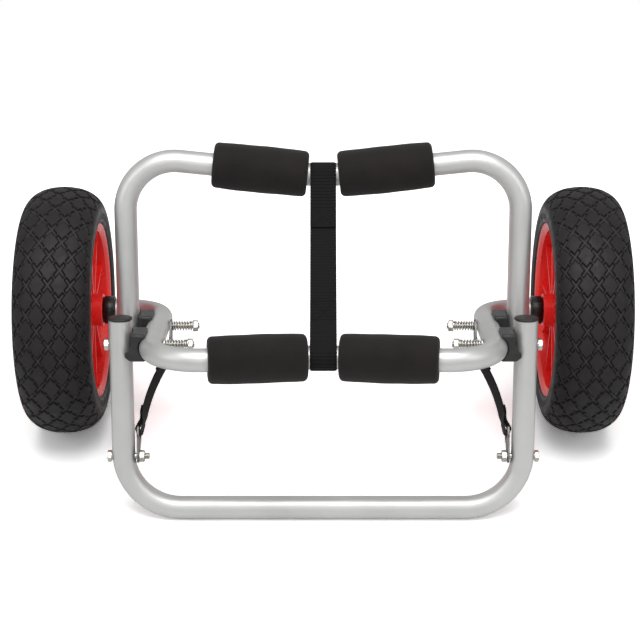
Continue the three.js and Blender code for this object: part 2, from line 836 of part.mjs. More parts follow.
// A bent wire clip: one leg through the axle, the other bowed round it.
function axleClip() {
  const bow = axle_radius + clip_wire_radius + seat_gap;
  const corners = [
    new THREE.Vector3(0, 0, -clip_leg_below),
    new THREE.Vector3(0, 0, clip_leg_above),
    new THREE.Vector3(0, clip_bow_width, clip_leg_above),
    new THREE.Vector3(0, bow, 0),
    new THREE.Vector3(0, clip_bow_width, -clip_leg_below),
  ];
  const radii = [clip_bend_radius, clip_bend_radius, clip_bend_radius];
  const wire = sweep(corners, radii, clip_wire_radius, clip_wire_sides);
  return wire.translate(clip_place, 0, 0);
}

// Everything on one side of the leaning frame, made for +X and mirrored for the other side.
function leaningSide(side) {
  const pivots = [
    ["upper", upper_pivot_reach],
    ["stand", stand_pivot_reach],
  ];
  const bolt_head_face = leg_outer_side + seat_gap;
  const group = new THREE.Group();
  group.add(
    part("arm_pad_" + side, "foam", armPad()),
    part("upper_pad_" + side, "foam", upperPad()),
    part("upper_end_plug_" + side, "plastic", upperPlug()),
    part("stand_end_plug_" + side, "plastic", standPlug()),
  );
  pivots.forEach(([pivot, reach]) => {
    const seat = arm_inner_side - seat_gap - (pivot === "upper" ? link_thickness : washer_thickness);
    const nut_face = bolt_inner_end + nut_thread_tail;
    const nut_back = nut_face + nut_height;
    const pieces = [
      part("saddle_spacer_" + pivot + "_" + side, "plastic", saddleSpacer(0)),
      part("pivot_bolt_" + pivot + "_" + side, "steel", hexBolt(bolt_inner_end, bolt_head_face)),
      part("pivot_nut_" + pivot + "_" + side, "steel", flangeNut(nut_face)),
      part(
        "lock_spring_" + pivot + "_" + side,
        "steel",
        springBetween(nut_back + seat_gap, seat - seat_gap),
      ),
    ];
    pieces.forEach((piece) => {
      piece.position.y = -reach;
      group.add(piece);
    });
  });
  const washer_face = arm_inner_side - seat_gap - washer_thickness;
  const seat_washer = washer(washer_radius, bolt_hole_radius, washer_face, washer_thickness);
  seat_washer.translate(0, -stand_pivot_reach, 0);
  const limit_nut_face = limit_low_plate - seat_gap - nut_height;
  const limit_bolt = hexBolt(limit_nut_face - limit_thread_tail, bolt_head_face);
  const limit_nut = flangeNut(limit_nut_face);
  [limit_bolt, limit_nut].forEach((piece) => piece.translate(0, limit_low.y, limit_low.z));
  group.add(
    part("spring_washer_" + side, "steel", seat_washer),
    part("limit_bolt_" + side, "steel", limit_bolt),
    part("limit_nut_" + side, "steel", limit_nut),
    part("limit_link_lower_" + side, "steel", placeLink(limit_low, limit_way, limit_low_plate)),
    part(
      "limit_link_upper_" + side,
      "steel",
      placeLink(limit_high, limit_way.clone().negate(), limit_high_plate),
    ),
    part("limit_strap_" + side, "webbing", limitStrap()),
  );
  if (side === "left") group.scale.x = -1;
  return group;
}

function wheelSide(side) {
  const washer_bore = (axle_radius + seat_gap) / Math.cos(Math.PI / washer_sides);
  const group = new THREE.Group();
  group.add(
    part("tyre_" + side, "tyre", tyre()),
    part("rim_" + side, "rim", rim(side)),
    part("hub_bush_" + side, "plastic", hubBush()),
    part("axle_" + side, "steel", axle()),
    part("axle_end_bush_" + side, "plastic", endBush()),
    part(
      "axle_washer_" + side,
      "steel",
      washer(axle_washer_radius, washer_bore, hub_outer_face + seat_gap, axle_washer_thickness),
    ),
    part("axle_clip_" + side, "steel", axleClip()),
  );
  if (side === "left") group.scale.x = -1;
  return group;
}

const leaning = new THREE.Group();
leaning.rotation.x = -frame_lean;
leaning.add(
  part("upper_frame", "tube", upperFrame()),
  part("arm_frame", "tube", armFrame()),
  part("stand_frame", "tube", standFrame()),
  part("hull_strap", "webbing", hullStrap()),
  leaningSide("right"),
  leaningSide("left"),
);

// The origin is on the ground, midway between the front and the back of the cart.
const front_place = -new THREE.Box3().setFromObject(leaning, true).min.y;
const cart = new THREE.Group();
cart.position.set(0, (front_place - tyre_radius) / 2, tyre_radius);
cart.add(leaning, wheelSide("right"), wheelSide("left"));

const kayak_cart = new THREE.Group();
kayak_cart.add(cart);
export default kayak_cart;
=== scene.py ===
"""Looks of the kayak cart: smooth satin tubes, foam sleeves, ribbed webbing, sprung bolts, moulded
spacers, treaded airless tyres and finned red rims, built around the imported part. Sizes are in
millimetres, in the part's own leaning frame, and are turned into the row frame in metres."""

import math

import bmesh
import bpy
import numpy as np
from mathutils import Matrix, Vector

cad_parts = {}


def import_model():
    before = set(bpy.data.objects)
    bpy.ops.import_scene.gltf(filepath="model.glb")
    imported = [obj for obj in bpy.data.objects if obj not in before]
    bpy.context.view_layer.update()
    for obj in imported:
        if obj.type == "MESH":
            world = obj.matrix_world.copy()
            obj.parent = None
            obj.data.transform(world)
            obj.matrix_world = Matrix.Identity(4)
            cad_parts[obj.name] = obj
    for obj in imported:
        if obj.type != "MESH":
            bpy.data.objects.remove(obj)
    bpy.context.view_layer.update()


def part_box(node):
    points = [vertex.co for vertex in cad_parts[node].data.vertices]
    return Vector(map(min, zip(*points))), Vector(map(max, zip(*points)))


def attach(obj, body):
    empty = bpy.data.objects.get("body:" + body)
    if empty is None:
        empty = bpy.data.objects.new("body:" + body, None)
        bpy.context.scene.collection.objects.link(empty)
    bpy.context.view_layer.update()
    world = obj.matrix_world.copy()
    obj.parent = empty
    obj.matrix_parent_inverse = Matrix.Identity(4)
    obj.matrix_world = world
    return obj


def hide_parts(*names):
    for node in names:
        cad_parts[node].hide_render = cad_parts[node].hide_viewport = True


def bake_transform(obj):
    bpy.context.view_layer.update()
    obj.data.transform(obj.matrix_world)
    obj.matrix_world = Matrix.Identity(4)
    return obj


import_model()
SIDES = (("right", 1), ("left", -1))

# Places that the part's source sets. A box is in metres, so 500 gives its half in millimetres.
WHEEL_LOW, WHEEL_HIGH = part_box("tyre_right")
TYRE = 500 * (WHEEL_HIGH.z - WHEEL_LOW.z)
AXLE_Y = 500 * (WHEEL_LOW.y + WHEEL_HIGH.y)
LEAN = math.radians(17.09)
DIP = math.radians(5.9)
SOLID_TUBE = 11
TUBE = 10.95
WALL = 1.5
FOOT = 10.625
FIT = 0.3
ARM_X = 161.0
ARM_TO_LEG = 29.3
LEG_TO_WHEEL = 70.7
LEG_X = ARM_X + ARM_TO_LEG
ARM_REACH = 199.5
UPPER_REACH = 66.5
BAR_TO_STAND = 62
STAND_REACH = ARM_REACH - BAR_TO_STAND
UPPER_HEIGHT = 168.0
UPPER_TAIL = 14.0
STAND_TOP = 24.0
FRAME_BEND, DIP_BEND, AXLE_BEND, STAND_BEND = 48, 120, 37, 54
DIP_RISE = DIP_BEND * (1 / math.cos(DIP) - 1)
UPPER_MIDDLE = UPPER_HEIGHT - LEG_X * math.tan(DIP) + DIP_RISE
ARM_MIDDLE = ARM_REACH - ARM_X * math.tan(DIP) + DIP_RISE
STAND_DROP = (TYRE + STAND_REACH * math.sin(LEAN) - FOOT) / math.cos(LEAN)
LIMIT_LIFT = 51.74
LIMIT_DROP = STAND_DROP - LIMIT_LIFT
WHEEL_X = LEG_X + LEG_TO_WHEEL
HUB_HALF = 38.3
HUB_IN = WHEEL_X - HUB_HALF
HUB_OUT = WHEEL_X + HUB_HALF
COLLAR = 12
AXLE_DEPTH = 11.95
ARM_TUBE_END = HUB_IN - FIT - COLLAR
AXLE_IN = ARM_TUBE_END - AXLE_DEPTH
LEG_FACE = LEG_X + SOLID_TUBE + FIT
ARM_SIDE = ARM_X - SOLID_TUBE - FIT

# The tread: crosses in slanted cells, 52 half cells round the tyre
TREAD_ROUND = 2 * math.pi * TYRE / 52
TREAD_ACROSS = 10.9
TREAD_ARM = math.hypot(TREAD_ROUND, TREAD_ACROSS)
TREAD_LINE = 2 * TREAD_ROUND * TREAD_ACROSS / TREAD_ARM
TREAD_REACH = 8.1
TREAD_WIDE = 1.75

METRES = Matrix.Scale(0.001, 4)
LEVEL = METRES @ Matrix.Translation((0, AXLE_Y, TYRE))
PLACE = LEVEL @ Matrix.Rotation(-LEAN, 4, "X")
ORIGIN = Matrix.Identity(4)
FLAT = ((1, 0, 0), (0, 1, 0), (0, 0, 1))
END_ON = ((0, 1, 0), (0, 0, 1), (1, 0, 0))


# Building blocks


def shown(name, data):
    """An object of the scene from its data."""
    obj = bpy.data.objects.new(name, data)
    bpy.context.scene.collection.objects.link(obj)
    return obj


def piece(name, verts, faces, place=PLACE, sharp=40):
    """A mesh object from points in millimetres, put in the row frame."""
    data = bpy.data.meshes.new(name)
    data.from_pydata([tuple(v) for v in verts], [], faces)
    data.transform(place)
    return dress(name, data, sharp)


def dress(name, data, sharp):
    """A smooth object from a mesh, its faces outward and its edges sharp from an angle on."""
    shape = bmesh.new()
    shape.from_mesh(data)
    bmesh.ops.recalc_face_normals(shape, faces=shape.faces)
    for face in shape.faces:
        face.smooth = True
    for edge in shape.edges:
        if len(edge.link_faces) == 2:
            edge.smooth = edge.calc_face_angle() < math.radians(sharp)
    shape.to_mesh(data)
    shape.free()
    return shown(name, data)


def settle(obj, body, slot, material, *nodes):
    """Puts a finished piece on its body, in place of its solids."""
    obj.data.materials.clear()
    obj.data.materials.append(material)
    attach(obj, body)
    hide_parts(*nodes)


def side_place(way, place=PLACE):
    """The same place, mirrored for the left side."""
    return place if way > 0 else Matrix.Scale(-1, 4, (1, 0, 0)) @ place


def placed(obj, way, place=PLACE):
    """A piece made at the origin, put in place, with its faces outward again if it was mirrored."""
    obj.data.transform(side_place(way, place))
    shape = bmesh.new()
    shape.from_mesh(obj.data)
    bmesh.ops.recalc_face_normals(shape, faces=shape.faces)
    shape.to_mesh(obj.data)
    shape.free()
    return obj


def merged(name, objects, sharp):
    """Several closed meshes as one object."""
    shape = bmesh.new()
    for obj in objects:
        shape.from_mesh(obj.data)
    data = bpy.data.meshes.new(name)
    shape.to_mesh(data)
    shape.free()
    for obj in objects:
        bpy.data.objects.remove(obj)
    return dress(name, data, sharp)


def combined(name, operation, body, others, sharp):
    """One closed mesh: the body's UNION, DIFFERENCE or INTERSECT with each of the others."""
    for other in others:
        step = body.modifiers.new("join", "BOOLEAN")
        step.operation = operation
        step.solver = "EXACT"
        step.object = other
    seen = bpy.context.evaluated_depsgraph_get()
    data = bpy.data.meshes.new_from_object(body.evaluated_get(seen))
    for used in [body, *others]:
        bpy.data.objects.remove(used)
    return dress(name, data, sharp)


def revolve(name, profile, sides, place=ORIGIN, sharp=40):
    """A body turned about X from (place along X, radius) points. A closed profile makes a ring."""
    verts, faces, rings = [], [], []
    for along, radius in profile:
        count = 1 if radius == 0 else sides
        rings.append([len(verts) + step for step in range(count)])
        for step in range(count):
            angle = 2 * math.pi * step / sides
            verts.append((along, radius * math.cos(angle), radius * math.sin(angle)))
    if profile[0][1] > 0 and profile[-1][1] > 0:
        rings.append(rings[0])
    for a, b in zip(rings, rings[1:]):
        for step in range(sides):
            after = (step + 1) % sides
            if len(a) == 1:
                faces.append((a[0], b[step], b[after]))
            elif len(b) == 1:
                faces.append((a[step], a[after], b[0]))
            else:
                faces.append((a[step], a[after], b[after], b[step]))
    return piece(name, verts, faces, place, sharp)


def eased(low, high, inner, outer, first, last):
    """A turned outline along X, its outer corners cut back by two small lengths."""
    start = [(low, inner), (low, outer - first), (low + first, outer)]
    return start + [(high - last, outer), (high, outer - last), (high, inner)]


def rectangle(low, high, half):
    """The corners of a flat rectangle that reaches as far to both sides of its axis."""
    return [(low, -half), (high, -half), (high, half), (low, half)]


def circle(radius, first, last, count):
    """Points of a round arc, ends included."""
    return [(radius * math.cos(a), radius * math.sin(a)) for a in np.linspace(first, last, count)]


def rounded(low, high, half, radii, count):
    """A flat rectangle with a round arc of this many points at each corner."""
    points = []
    for index, (x, y) in enumerate(rectangle(low, high, half)):
        radius, first = radii[index], math.pi * (1 + index / 2)
        middle_x = x + radius if x == low else x - radius
        middle_y = y + radius if y < 0 else y - radius
        arc = circle(radius, first, first + math.pi / 2, count)
        points += [(middle_x + a, middle_y + b) for a, b in arc]
    return points


def bent_path(corners, radii, step_angle=4):
    """(point, tangent) along straights and round bends."""
    points = [Vector(c) for c in corners]
    rings = [(points[0], (points[1] - points[0]).normalized())]
    for index, radius in enumerate(radii):
        before, corner, after = points[index : index + 3]
        inward = (corner - before).normalized()
        outward = (after - corner).normalized()
        turn = inward.angle(outward)
        axis = inward.cross(outward).normalized()
        start = corner - inward * radius * math.tan(turn / 2)
        centre = start + axis.cross(inward) * radius
        steps = max(3, math.ceil(math.degrees(turn) / step_angle))
        for step in range(steps + 1):
            spin = Matrix.Rotation(turn * step / steps, 3, axis)
            rings.append((centre + spin @ (start - centre), spin @ inward))
    rings.append((points[-1], (points[-1] - points[-2]).normalized()))
    return rings


def ring_faces(rows, sides, closed):
    """The faces between rows of points, and also from the last row to the first if closed."""
    faces = []
    for row in range(rows if closed else rows - 1):
        here, there = row * sides, (row + 1) % rows * sides
        for step in range(sides):
            after = (step + 1) % sides
            faces.append((here + step, here + after, there + after, there + step))
    if not closed:
        faces.append(tuple(range(sides))[::-1])
        faces.append(tuple(range((rows - 1) * sides, rows * sides)))
    return faces


def tube_mesh(name, rings, normal, sides=40):
    """A round tube with a bore along rings that lie in the plane with this normal."""
    normal = Vector(normal)
    chamfer = 0.35
    (first, start_way), (last, end_way) = rings[0], rings[-1]
    loops = [(first, TUBE - chamfer, start_way), (first + start_way * chamfer, TUBE, start_way)]
    loops += [(point, TUBE, tangent) for point, tangent in rings[1:-1]]
    loops += [(last - end_way * chamfer, TUBE, end_way), (last, TUBE - chamfer, end_way)]
    loops += [(point, TUBE - WALL, tangent) for point, tangent in reversed(rings)]
    verts = []
    for point, size, tangent in loops:
        side = normal.cross(tangent).normalized()
        for step in range(sides):
            angle = 2 * math.pi * (step + 0.5) / sides
            verts.append(point + side * size * math.cos(angle) + normal * size * math.sin(angle))
    return piece(name, verts, ring_faces(len(loops), sides, True), PLACE, 35)


def wire_mesh(name, points, radius, sides, place=PLACE):
    """A round wire through points, closed at both ends, its rings carried along without twist."""
    points = [Vector(p) for p in points]
    verts = []
    side = (points[1] - points[0]).normalized().orthogonal().normalized()
    for index, point in enumerate(points):
        before, after = points[max(0, index - 1)], points[min(len(points) - 1, index + 1)]
        tangent = (after - before).normalized()
        side = (side - tangent * side.dot(tangent)).normalized()
        up = tangent.cross(side)
        for step in range(sides):
            angle = 2 * math.pi * step / sides
            verts.append(point + side * radius * math.cos(angle) + up * radius * math.sin(angle))
    return piece(name, verts, ring_faces(len(points), sides, False), place, 50)


def prism(name, outline, low, high, axes):
    """A closed block from an outline in the plane of two axes, between two places on the third."""
    a, b, c = (Vector(axis) for axis in axes)
    verts = [a * x + b * y + c * z for z in (low, high) for x, y in outline]
    return piece(name, verts, ring_faces(2, len(outline), False), ORIGIN)


def softened(obj, width, angle):
    """Rounds an object's edges with real faces."""
    step = obj.modifiers.new("edges", "BEVEL")
    step.width = width * 0.001
    step.segments = 2
    step.limit_method = "ANGLE"
    step.angle_limit = math.radians(angle)
    step.use_clamp_overlap = True


def smooth(share):
    """A soft step from 0 to 1, for a number or an array."""
    share = np.clip(share, 0, 1)
    return share * share * (3 - 2 * share)


# Materials


class Nodes:
    """A node tree with the usual helpers."""

    def __init__(self, tree):
        self.tree = tree

    def node(self, kind, **settings):
        made = self.tree.nodes.new(kind)
        for key, value in settings.items():
            setattr(made, key, value)
        return made

    def link(self, source, target):
        self.tree.links.new(source, target)

    def feed(self, socket, value):
        """Gives a socket a link, a colour or a number."""
        if isinstance(value, bpy.types.NodeSocket):
            self.link(value, socket)
        else:
            socket.default_value = (*value, 1) if isinstance(value, tuple) else value

    def filled(self, kind, values, **settings):
        """A new node with its named inputs fed."""
        made = self.node(kind, **settings)
        for socket, value in values.items():
            self.feed(made.inputs[socket], value)
        return made

    def span(self, source, low, high, to_low, to_high):
        """A value moved from one range to another."""
        values = {"Value": source, "From Min": low, "From Max": high, "To Min": to_low, "To Max": to_high}
        return self.filled("ShaderNodeMapRange", values).outputs["Result"]

    def math(self, operation, a, b=0.0):
        return self.filled("ShaderNodeMath", {0: a, 1: b}, operation=operation).outputs["Value"]


class Paint(Nodes):
    """A material with procedural colour, roughness and relief."""

    def __init__(self, name, colour, roughness, metallic=0.0, **sockets):
        self.material = bpy.data.materials.new(name)
        self.material.use_nodes = True
        super().__init__(self.material.node_tree)
        self.shader = self.tree.nodes["Principled BSDF"]
        values = {"Base Color": colour, "Roughness": roughness, "Metallic": metallic, **sockets}
        for socket, value in values.items():
            self.feed(self.shader.inputs[socket.replace("_", " ")], value)
        self.where = self.node("ShaderNodeTexCoord").outputs["Object"]

    def stretched(self, scale):
        made = self.filled("ShaderNodeMapping", {"Vector": self.where})
        made.inputs["Scale"].default_value = scale
        return made.outputs["Vector"]

    def noise(self, scale, detail=3.0, roughness=0.5, where=None):
        values = {"Scale": scale, "Detail": detail, "Roughness": roughness, "Vector": where or self.where}
        return self.filled("ShaderNodeTexNoise", values).outputs["Fac"]

    def ramp(self, source, *stops):
        made = self.filled("ShaderNodeValToRGB", {"Fac": source})
        for element, (place, colour) in zip(made.color_ramp.elements, stops):
            element.position = place
            element.color = (*colour, 1)
        return made.outputs["Color"]

    def mix(self, share, a, b):
        """A colour between two. The node's colour inputs are its seventh and eighth."""
        return self.filled("ShaderNodeMix", {"Factor": share, 6: a, 7: b}, data_type="RGBA").outputs[2]

    def colour(self, source):
        self.link(source, self.shader.inputs["Base Color"])

    def rough(self, source, at_low, at_high, low=0.3, high=0.7):
        self.link(self.span(source, low, high, at_low, at_high), self.shader.inputs["Roughness"])

    def bump(self, source, strength, distance, after=None):
        """Relief from a pattern, on top of an earlier one. A negative distance turns it inward."""
        values = {"Strength": strength, "Distance": abs(distance), "Height": source}
        if after is not None:
            values["Normal"] = after
        normal = self.filled("ShaderNodeBump", values, invert=distance < 0).outputs["Normal"]
        self.link(normal, self.shader.inputs["Normal"])
        return normal


def plain(name, *base, cloud, dark, light, wear, worn, grain):
    """A material with soft noise in its colour, its roughness and its fine relief."""
    paint = Paint(name, *base)
    paint.colour(paint.ramp(paint.noise(*cloud), dark, light))
    paint.rough(paint.noise(*wear), *worn)
    scale, relief = grain
    paint.bump(paint.noise(scale, 2), relief, 0.0001)
    return paint.material


def satin_tube():
    """Aluminium tube: fine grain and soft handling marks."""
    dark, light = (0.35, (0.6, 0.6, 0.595)), (0.65, (0.67, 0.67, 0.66))
    noise = {"cloud": (14, 4), "wear": (90, 5, 0.65), "worn": (0.4, 0.5), "grain": (2600, 0.12)}
    return plain("satin_tube", (0.62, 0.62, 0.61), 0.38, 0.8, dark=dark, light=light, **noise)


def zinc_steel():
    """Zinc-plated steel: bright, faintly warm, with a mottled finish."""
    dark, light = (0.3, (0.4, 0.385, 0.35)), (0.7, (0.58, 0.57, 0.54))
    noise = {"cloud": (500, 3), "wear": (900, 4), "worn": (0.16, 0.34), "grain": (3000, 0.08)}
    return plain("zinc_steel", (0.5, 0.48, 0.44), 0.2, 1.0, dark=dark, light=light, **noise)


def link_steel():
    """Plain pressed steel, duller than the bolts."""
    dark, light = (0.3, (0.16, 0.155, 0.147)), (0.7, (0.25, 0.243, 0.23))
    noise = {"cloud": (160, 4), "wear": (700, 4), "worn": (0.4, 0.56), "grain": (2400, 0.1)}
    return plain("link_steel", (0.2, 0.193, 0.183), 0.48, 0.9, dark=dark, light=light, **noise)


def red_plastic():
    """Glossy moulded red with faint flow marks."""
    dark, light = (0.3, (0.91, 0.022, 0.017)), (0.7, (0.95, 0.027, 0.021))
    noise = {"cloud": (20, 3), "wear": (70, 4), "worn": (0.24, 0.36), "grain": (700, 0.06)}
    return plain("rim_red", (0.93, 0.024, 0.019), 0.32, dark=dark, light=light, **noise)


def moulded(name, colour, roughness):
    """Moulded plastic with a fine texture."""
    dark, light = (0.35, colour), (0.7, tuple(min(1, c * 1.25) for c in colour))
    worn = roughness - 0.05, roughness + 0.08
    noise = {"cloud": (60, 3), "wear": (220, 3), "worn": worn, "grain": (1100, 0.12)}
    return plain(name, colour, roughness, dark=dark, light=light, **noise)


def spring_steel():
    """Bright drawn wire."""
    paint = Paint("spring_steel", (0.6, 0.58, 0.54), 0.26, 1.0)
    paint.rough(paint.noise(1400, 3), 0.2, 0.36)
    paint.bump(paint.noise(2500, 2), 0.08, 0.0001)
    return paint.material


def foam():
    """Closed-cell foam with a fine skin, open specks and a brownish black."""
    sheen = {"Sheen_Weight": 0.07, "Sheen_Roughness": 0.6}
    paint = Paint("foam", (0.0062, 0.0036, 0.0036), 0.82, 0.0, Specular_IOR_Level=0.22, **sheen)
    soft = paint.noise(38, 3)
    paint.colour(paint.ramp(soft, (0.35, (0.005, 0.0028, 0.0028)), (0.65, (0.0086, 0.0054, 0.0053))))
    values = {"Scale": 1500, "Vector": paint.where}
    cells = paint.filled("ShaderNodeTexVoronoi", values, feature="F1").outputs["Distance"]
    paint.rough(cells, 0.9, 0.74, 0.1)
    pores = paint.bump(cells, 0.25, 0.00018)
    paint.bump(paint.noise(260, 3), 0.2, 0.0004, pores)
    return paint.material


def webbing():
    """Woven polyester: fine yarns in the ribs, worn a little grey at the crowns."""
    sheen = {"Sheen_Weight": 0.05, "Sheen_Roughness": 0.45}
    paint = Paint("webbing", (0.003, 0.0024, 0.0026), 0.78, 0.0, Specular_IOR_Level=0.2, **sheen)
    yarn = paint.noise(1800, 2, 0.5, paint.stretched((1, 0.35, 0.35)))
    paint.colour(paint.ramp(yarn, (0.3, (0.0016, 0.0013, 0.0014)), (0.75, (0.0065, 0.005, 0.0054))))
    paint.rough(yarn, 0.7, 0.86)
    paint.bump(yarn, 0.5, 0.00025)
    return paint.material


def thread():
    """Sewing thread, nearly as dark as the webbing."""
    paint = Paint("stitching", (0.006, 0.0052, 0.0054), 0.75, 0.0, Specular_IOR_Level=0.2)
    paint.bump(paint.noise(2600, 2), 0.3, 0.0001)
    return paint.material


def rubber():
    """Airless tyre rubber: dark with a cool tint, with painted shade near black along the edges of the
    tread's crosses standing in for the shadow on the groove walls, a little paler on their floors. Its
    sides are plain and a little smoother."""
    paint = Paint("tyre_rubber", (0.012, 0.011, 0.0125), 0.58, 0.0, Specular_IOR_Level=0.3)
    cells = paint.node("ShaderNodeUVMap", uv_map="cells").outputs["UV"]
    split = paint.filled("ShaderNodeSeparateXYZ", {"Vector": cells}).outputs
    u, v = (paint.math("PINGPONG", split[axis], 0.5) for axis in "XY")

    def arm(across, reach):
        wide = paint.math("SUBTRACT", paint.math("MULTIPLY", across, TREAD_LINE), TREAD_WIDE)
        far = paint.math("SUBTRACT", paint.math("MULTIPLY", reach, TREAD_ARM), TREAD_REACH)
        return paint.math("MAXIMUM", wide, far)

    edge = paint.math("MINIMUM", arm(u, v), arm(v, u))
    arc = paint.math("SUBTRACT", split["X"], split["Y"])
    side = paint.math("MULTIPLY", paint.math("ABSOLUTE", arc), TREAD_ACROSS)
    fade = paint.span(side, 38.5, 42.5, 1, 0)
    # Painted shade: a near-black line along the crosses' edges stands in for the shadow on the groove
    # walls.
    near = paint.span(paint.math("ABSOLUTE", paint.math("ADD", edge, 0.15)), 0.3, 0.75, 1, 0)
    line = paint.math("MULTIPLY", near, fade)
    floor = paint.math("MULTIPLY", paint.span(edge, -0.9, -0.5, 1, 0), fade)
    dusty = paint.noise(24, 5, 0.6)
    blocks = paint.ramp(dusty, (0.3, (0.009, 0.0072, 0.008)), (0.72, (0.0145, 0.012, 0.0132)))
    paler = paint.mix(floor, blocks, (0.024, 0.0215, 0.0235))
    # Mixes in the painted shade, near black, along the crosses' edges.
    paint.colour(paint.mix(line, paler, (0.0024, 0.002, 0.0024)))
    worn = paint.span(paint.noise(120, 4), 0.3, 0.7, 0.5, 0.68)
    smoother = paint.span(side, 44, 47, 0, 0.14)
    paint.link(paint.math("SUBTRACT", worn, smoother), paint.shader.inputs["Roughness"])
    grain = paint.bump(paint.noise(900, 3), 0.15, 0.0002)
    grooves = paint.bump(line, 0.6, -0.0008, grain)
    paint.bump(paint.noise(60, 2), 0.08, 0.0006, grooves)
    return paint.material


TUBE_LOOK = satin_tube()
STEEL_LOOK = zinc_steel()
LINK_LOOK = link_steel()
RIM_LOOK = red_plastic()
SPRING_LOOK = spring_steel()
FOAM_LOOK = foam()
SPACER_LOOK = moulded("spacer_plastic", (0.013, 0.0125, 0.013), 0.4)
PLUG_LOOK = moulded("plug_plastic", (0.012, 0.0095, 0.0095), 0.5)
BUSH_LOOK = moulded("bush_plastic", (0.004, 0.004, 0.004), 0.3)
BEARING_LOOK = moulded("bearing_plastic", (0.5, 0.5, 0.48), 0.45)
WEB_LOOK = webbing()
THREAD_LOOK = thread()
RUBBER_LOOK = rubber()


# Tube frames


def frame_tube(body, right, middle, radii, normal):
    """A bent tube from the right end's corners, over the middle ones, to the left end. No point
    of it goes below the floor."""
    left = [(-x, y, z) for x, y, z in reversed(right)]
    made = tube_mesh(f"{body}_tube", bent_path([*right, *middle, *left], radii), normal)
    for vertex in made.data.vertices:
        vertex.co.z = max(vertex.co.z, 0)
    settle(made, body, "tube", TUBE_LOOK, f"{body}_frame")


RIGHT_LEG = [(LEG_X, -UPPER_REACH, -UPPER_TAIL), (LEG_X, -UPPER_REACH, UPPER_HEIGHT)]
UPPER_BAR = (0, -UPPER_REACH, UPPER_MIDDLE - DIP_RISE)
RIGHT_ARM = [(ARM_TUBE_END, 0, 0), (ARM_X, 0, 0), (ARM_X, -ARM_REACH, 0)]
ARM_BAR = (0, DIP_RISE - ARM_MIDDLE, 0)
RIGHT_STAND = [(LEG_X, -STAND_REACH, STAND_TOP), (LEG_X, -STAND_REACH, -STAND_DROP)]
BAR_BENDS = [FRAME_BEND, DIP_BEND, FRAME_BEND]

frame_tube("upper", RIGHT_LEG, [UPPER_BAR], BAR_BENDS, (0, 1, 0))
frame_tube("arm", RIGHT_ARM, [ARM_BAR], [AXLE_BEND, *BAR_BENDS, AXLE_BEND], (0, 0, 1))
frame_tube("stand", RIGHT_STAND, [], [STAND_BEND, STAND_BEND], (0, 1, 0))


# Foam sleeves


def sleeve_outline(half, outer, inner, edge, crown):
    """A sleeve's closed outline: round shoulders, a slight crown and a bore with eased ends."""
    shoulder = [math.pi / 2 * step / 8 for step in range(9)]
    rim_level = outer - crown - edge
    flat = half - edge
    points = [(-flat - edge * math.cos(a), rim_level + edge * math.sin(a)) for a in shoulder]
    for step in range(1, 24):
        along = 2 * flat * step / 24 - flat
        points.append((along, outer - crown * (along / flat) ** 2))
    points += [(flat + edge * math.cos(a), rim_level + edge * math.sin(a)) for a in shoulder[::-1]]
    ends = [(half, inner + 2.2), (half - 0.5, inner)]
    return points + ends + [(-along, radius) for along, radius in ends[::-1]]


def sleeve(name, turn, origin, way):
    """A foam sleeve along a dipped crossbar, its skin a little uneven."""
    half, outer, inner, from_middle = 45.5, 22.8, 11.25, 15
    made = revolve(name, sleeve_outline(half, outer, inner, 4.6, 0.7), 72, ORIGIN, 60)
    for vertex in made.data.vertices:
        x, y, z = vertex.co
        radius = math.hypot(y, z)
        if radius > inner + 1:
            angle = math.atan2(z, y)
            swell = 0.16 * math.sin(3 * angle + x * 0.07 + way) + 0.1 * math.sin(x * 0.21 + 2 * angle)
            scale = (radius + swell - 0.26) / radius
            vertex.co = (x, y * scale, z * scale)
    along_bar = Matrix.Translation((from_middle + half, 0, 0))
    return placed(made, way, PLACE @ Matrix.Translation(origin) @ turn @ along_bar)


for label, way in SIDES:
    for body, axis, middle in (("upper", "Y", UPPER_BAR), ("arm", "Z", ARM_BAR)):
        pad = sleeve(f"{body}_sleeve_{label}", Matrix.Rotation(-DIP, 4, axis), middle, way)
        settle(pad, body, "foam", FOAM_LOOK, f"{body}_pad_{label}")


# Bolts, nuts, springs, washers and links


HEX_FLAT = 9.95 / 2
HEX_CORNER = HEX_FLAT / math.cos(math.pi / 6)
TURNS = [math.pi / 3 * corner for corner in range(6)]
HEXAGON = [(HEX_CORNER * math.cos(turn), HEX_CORNER * math.sin(turn)) for turn in TURNS]
NUT_HEIGHT = 5.0
WASHER = 1.6
LINK = 2.0
LIMIT_LOW = Vector((0, -STAND_REACH, -LIMIT_DROP))
LIMIT_HIGH = Vector((0, -UPPER_REACH, 0))
LIMIT_WAY = (LIMIT_HIGH - LIMIT_LOW).normalized()
LOW_PLATE = LEG_X - SOLID_TUBE - 1.75 - LINK
HIGH_PLATE = ARM_SIDE - LINK
WASHER_FACE = ARM_SIDE - WASHER
BOLT_END = 121
THREAD_END = 148.5
NUT_FACE = BOLT_END + 1.4
LIMIT_NUT_FACE = LOW_PLATE - FIT - NUT_HEIGHT


def steel(obj, body, node):
    """Settles a piece of plated steel."""
    settle(obj, body, "steel", STEEL_LOOK, node)


def disc(name, low, high, radius, sides=40):
    """A plain turned length along X."""
    return revolve(name, [(low, 0), (low, radius), (high, radius), (high, 0)], sides)


def hex_solid(name, low, high, crown_low, crown_high):
    """A hexagon along X whose crowned ends are turned down at the corners."""
    body = prism(name, HEXAGON, low, high, END_ON)
    face = HEX_FLAT * 0.95
    rise = (HEX_CORNER - face) * math.tan(math.radians(30))
    clear = HEX_CORNER + 1
    low_end = [(low, face), (low + rise, HEX_CORNER + 0.02)] if crown_low else [(low, clear)]
    high_end = [(high - rise, HEX_CORNER + 0.02), (high, face)] if crown_high else [(high, clear)]
    profile = [(low, 0), *low_end, *high_end, (high, 0)]
    return combined(name, "INTERSECT", body, [revolve(name + "_turn", profile, 48)], 20)


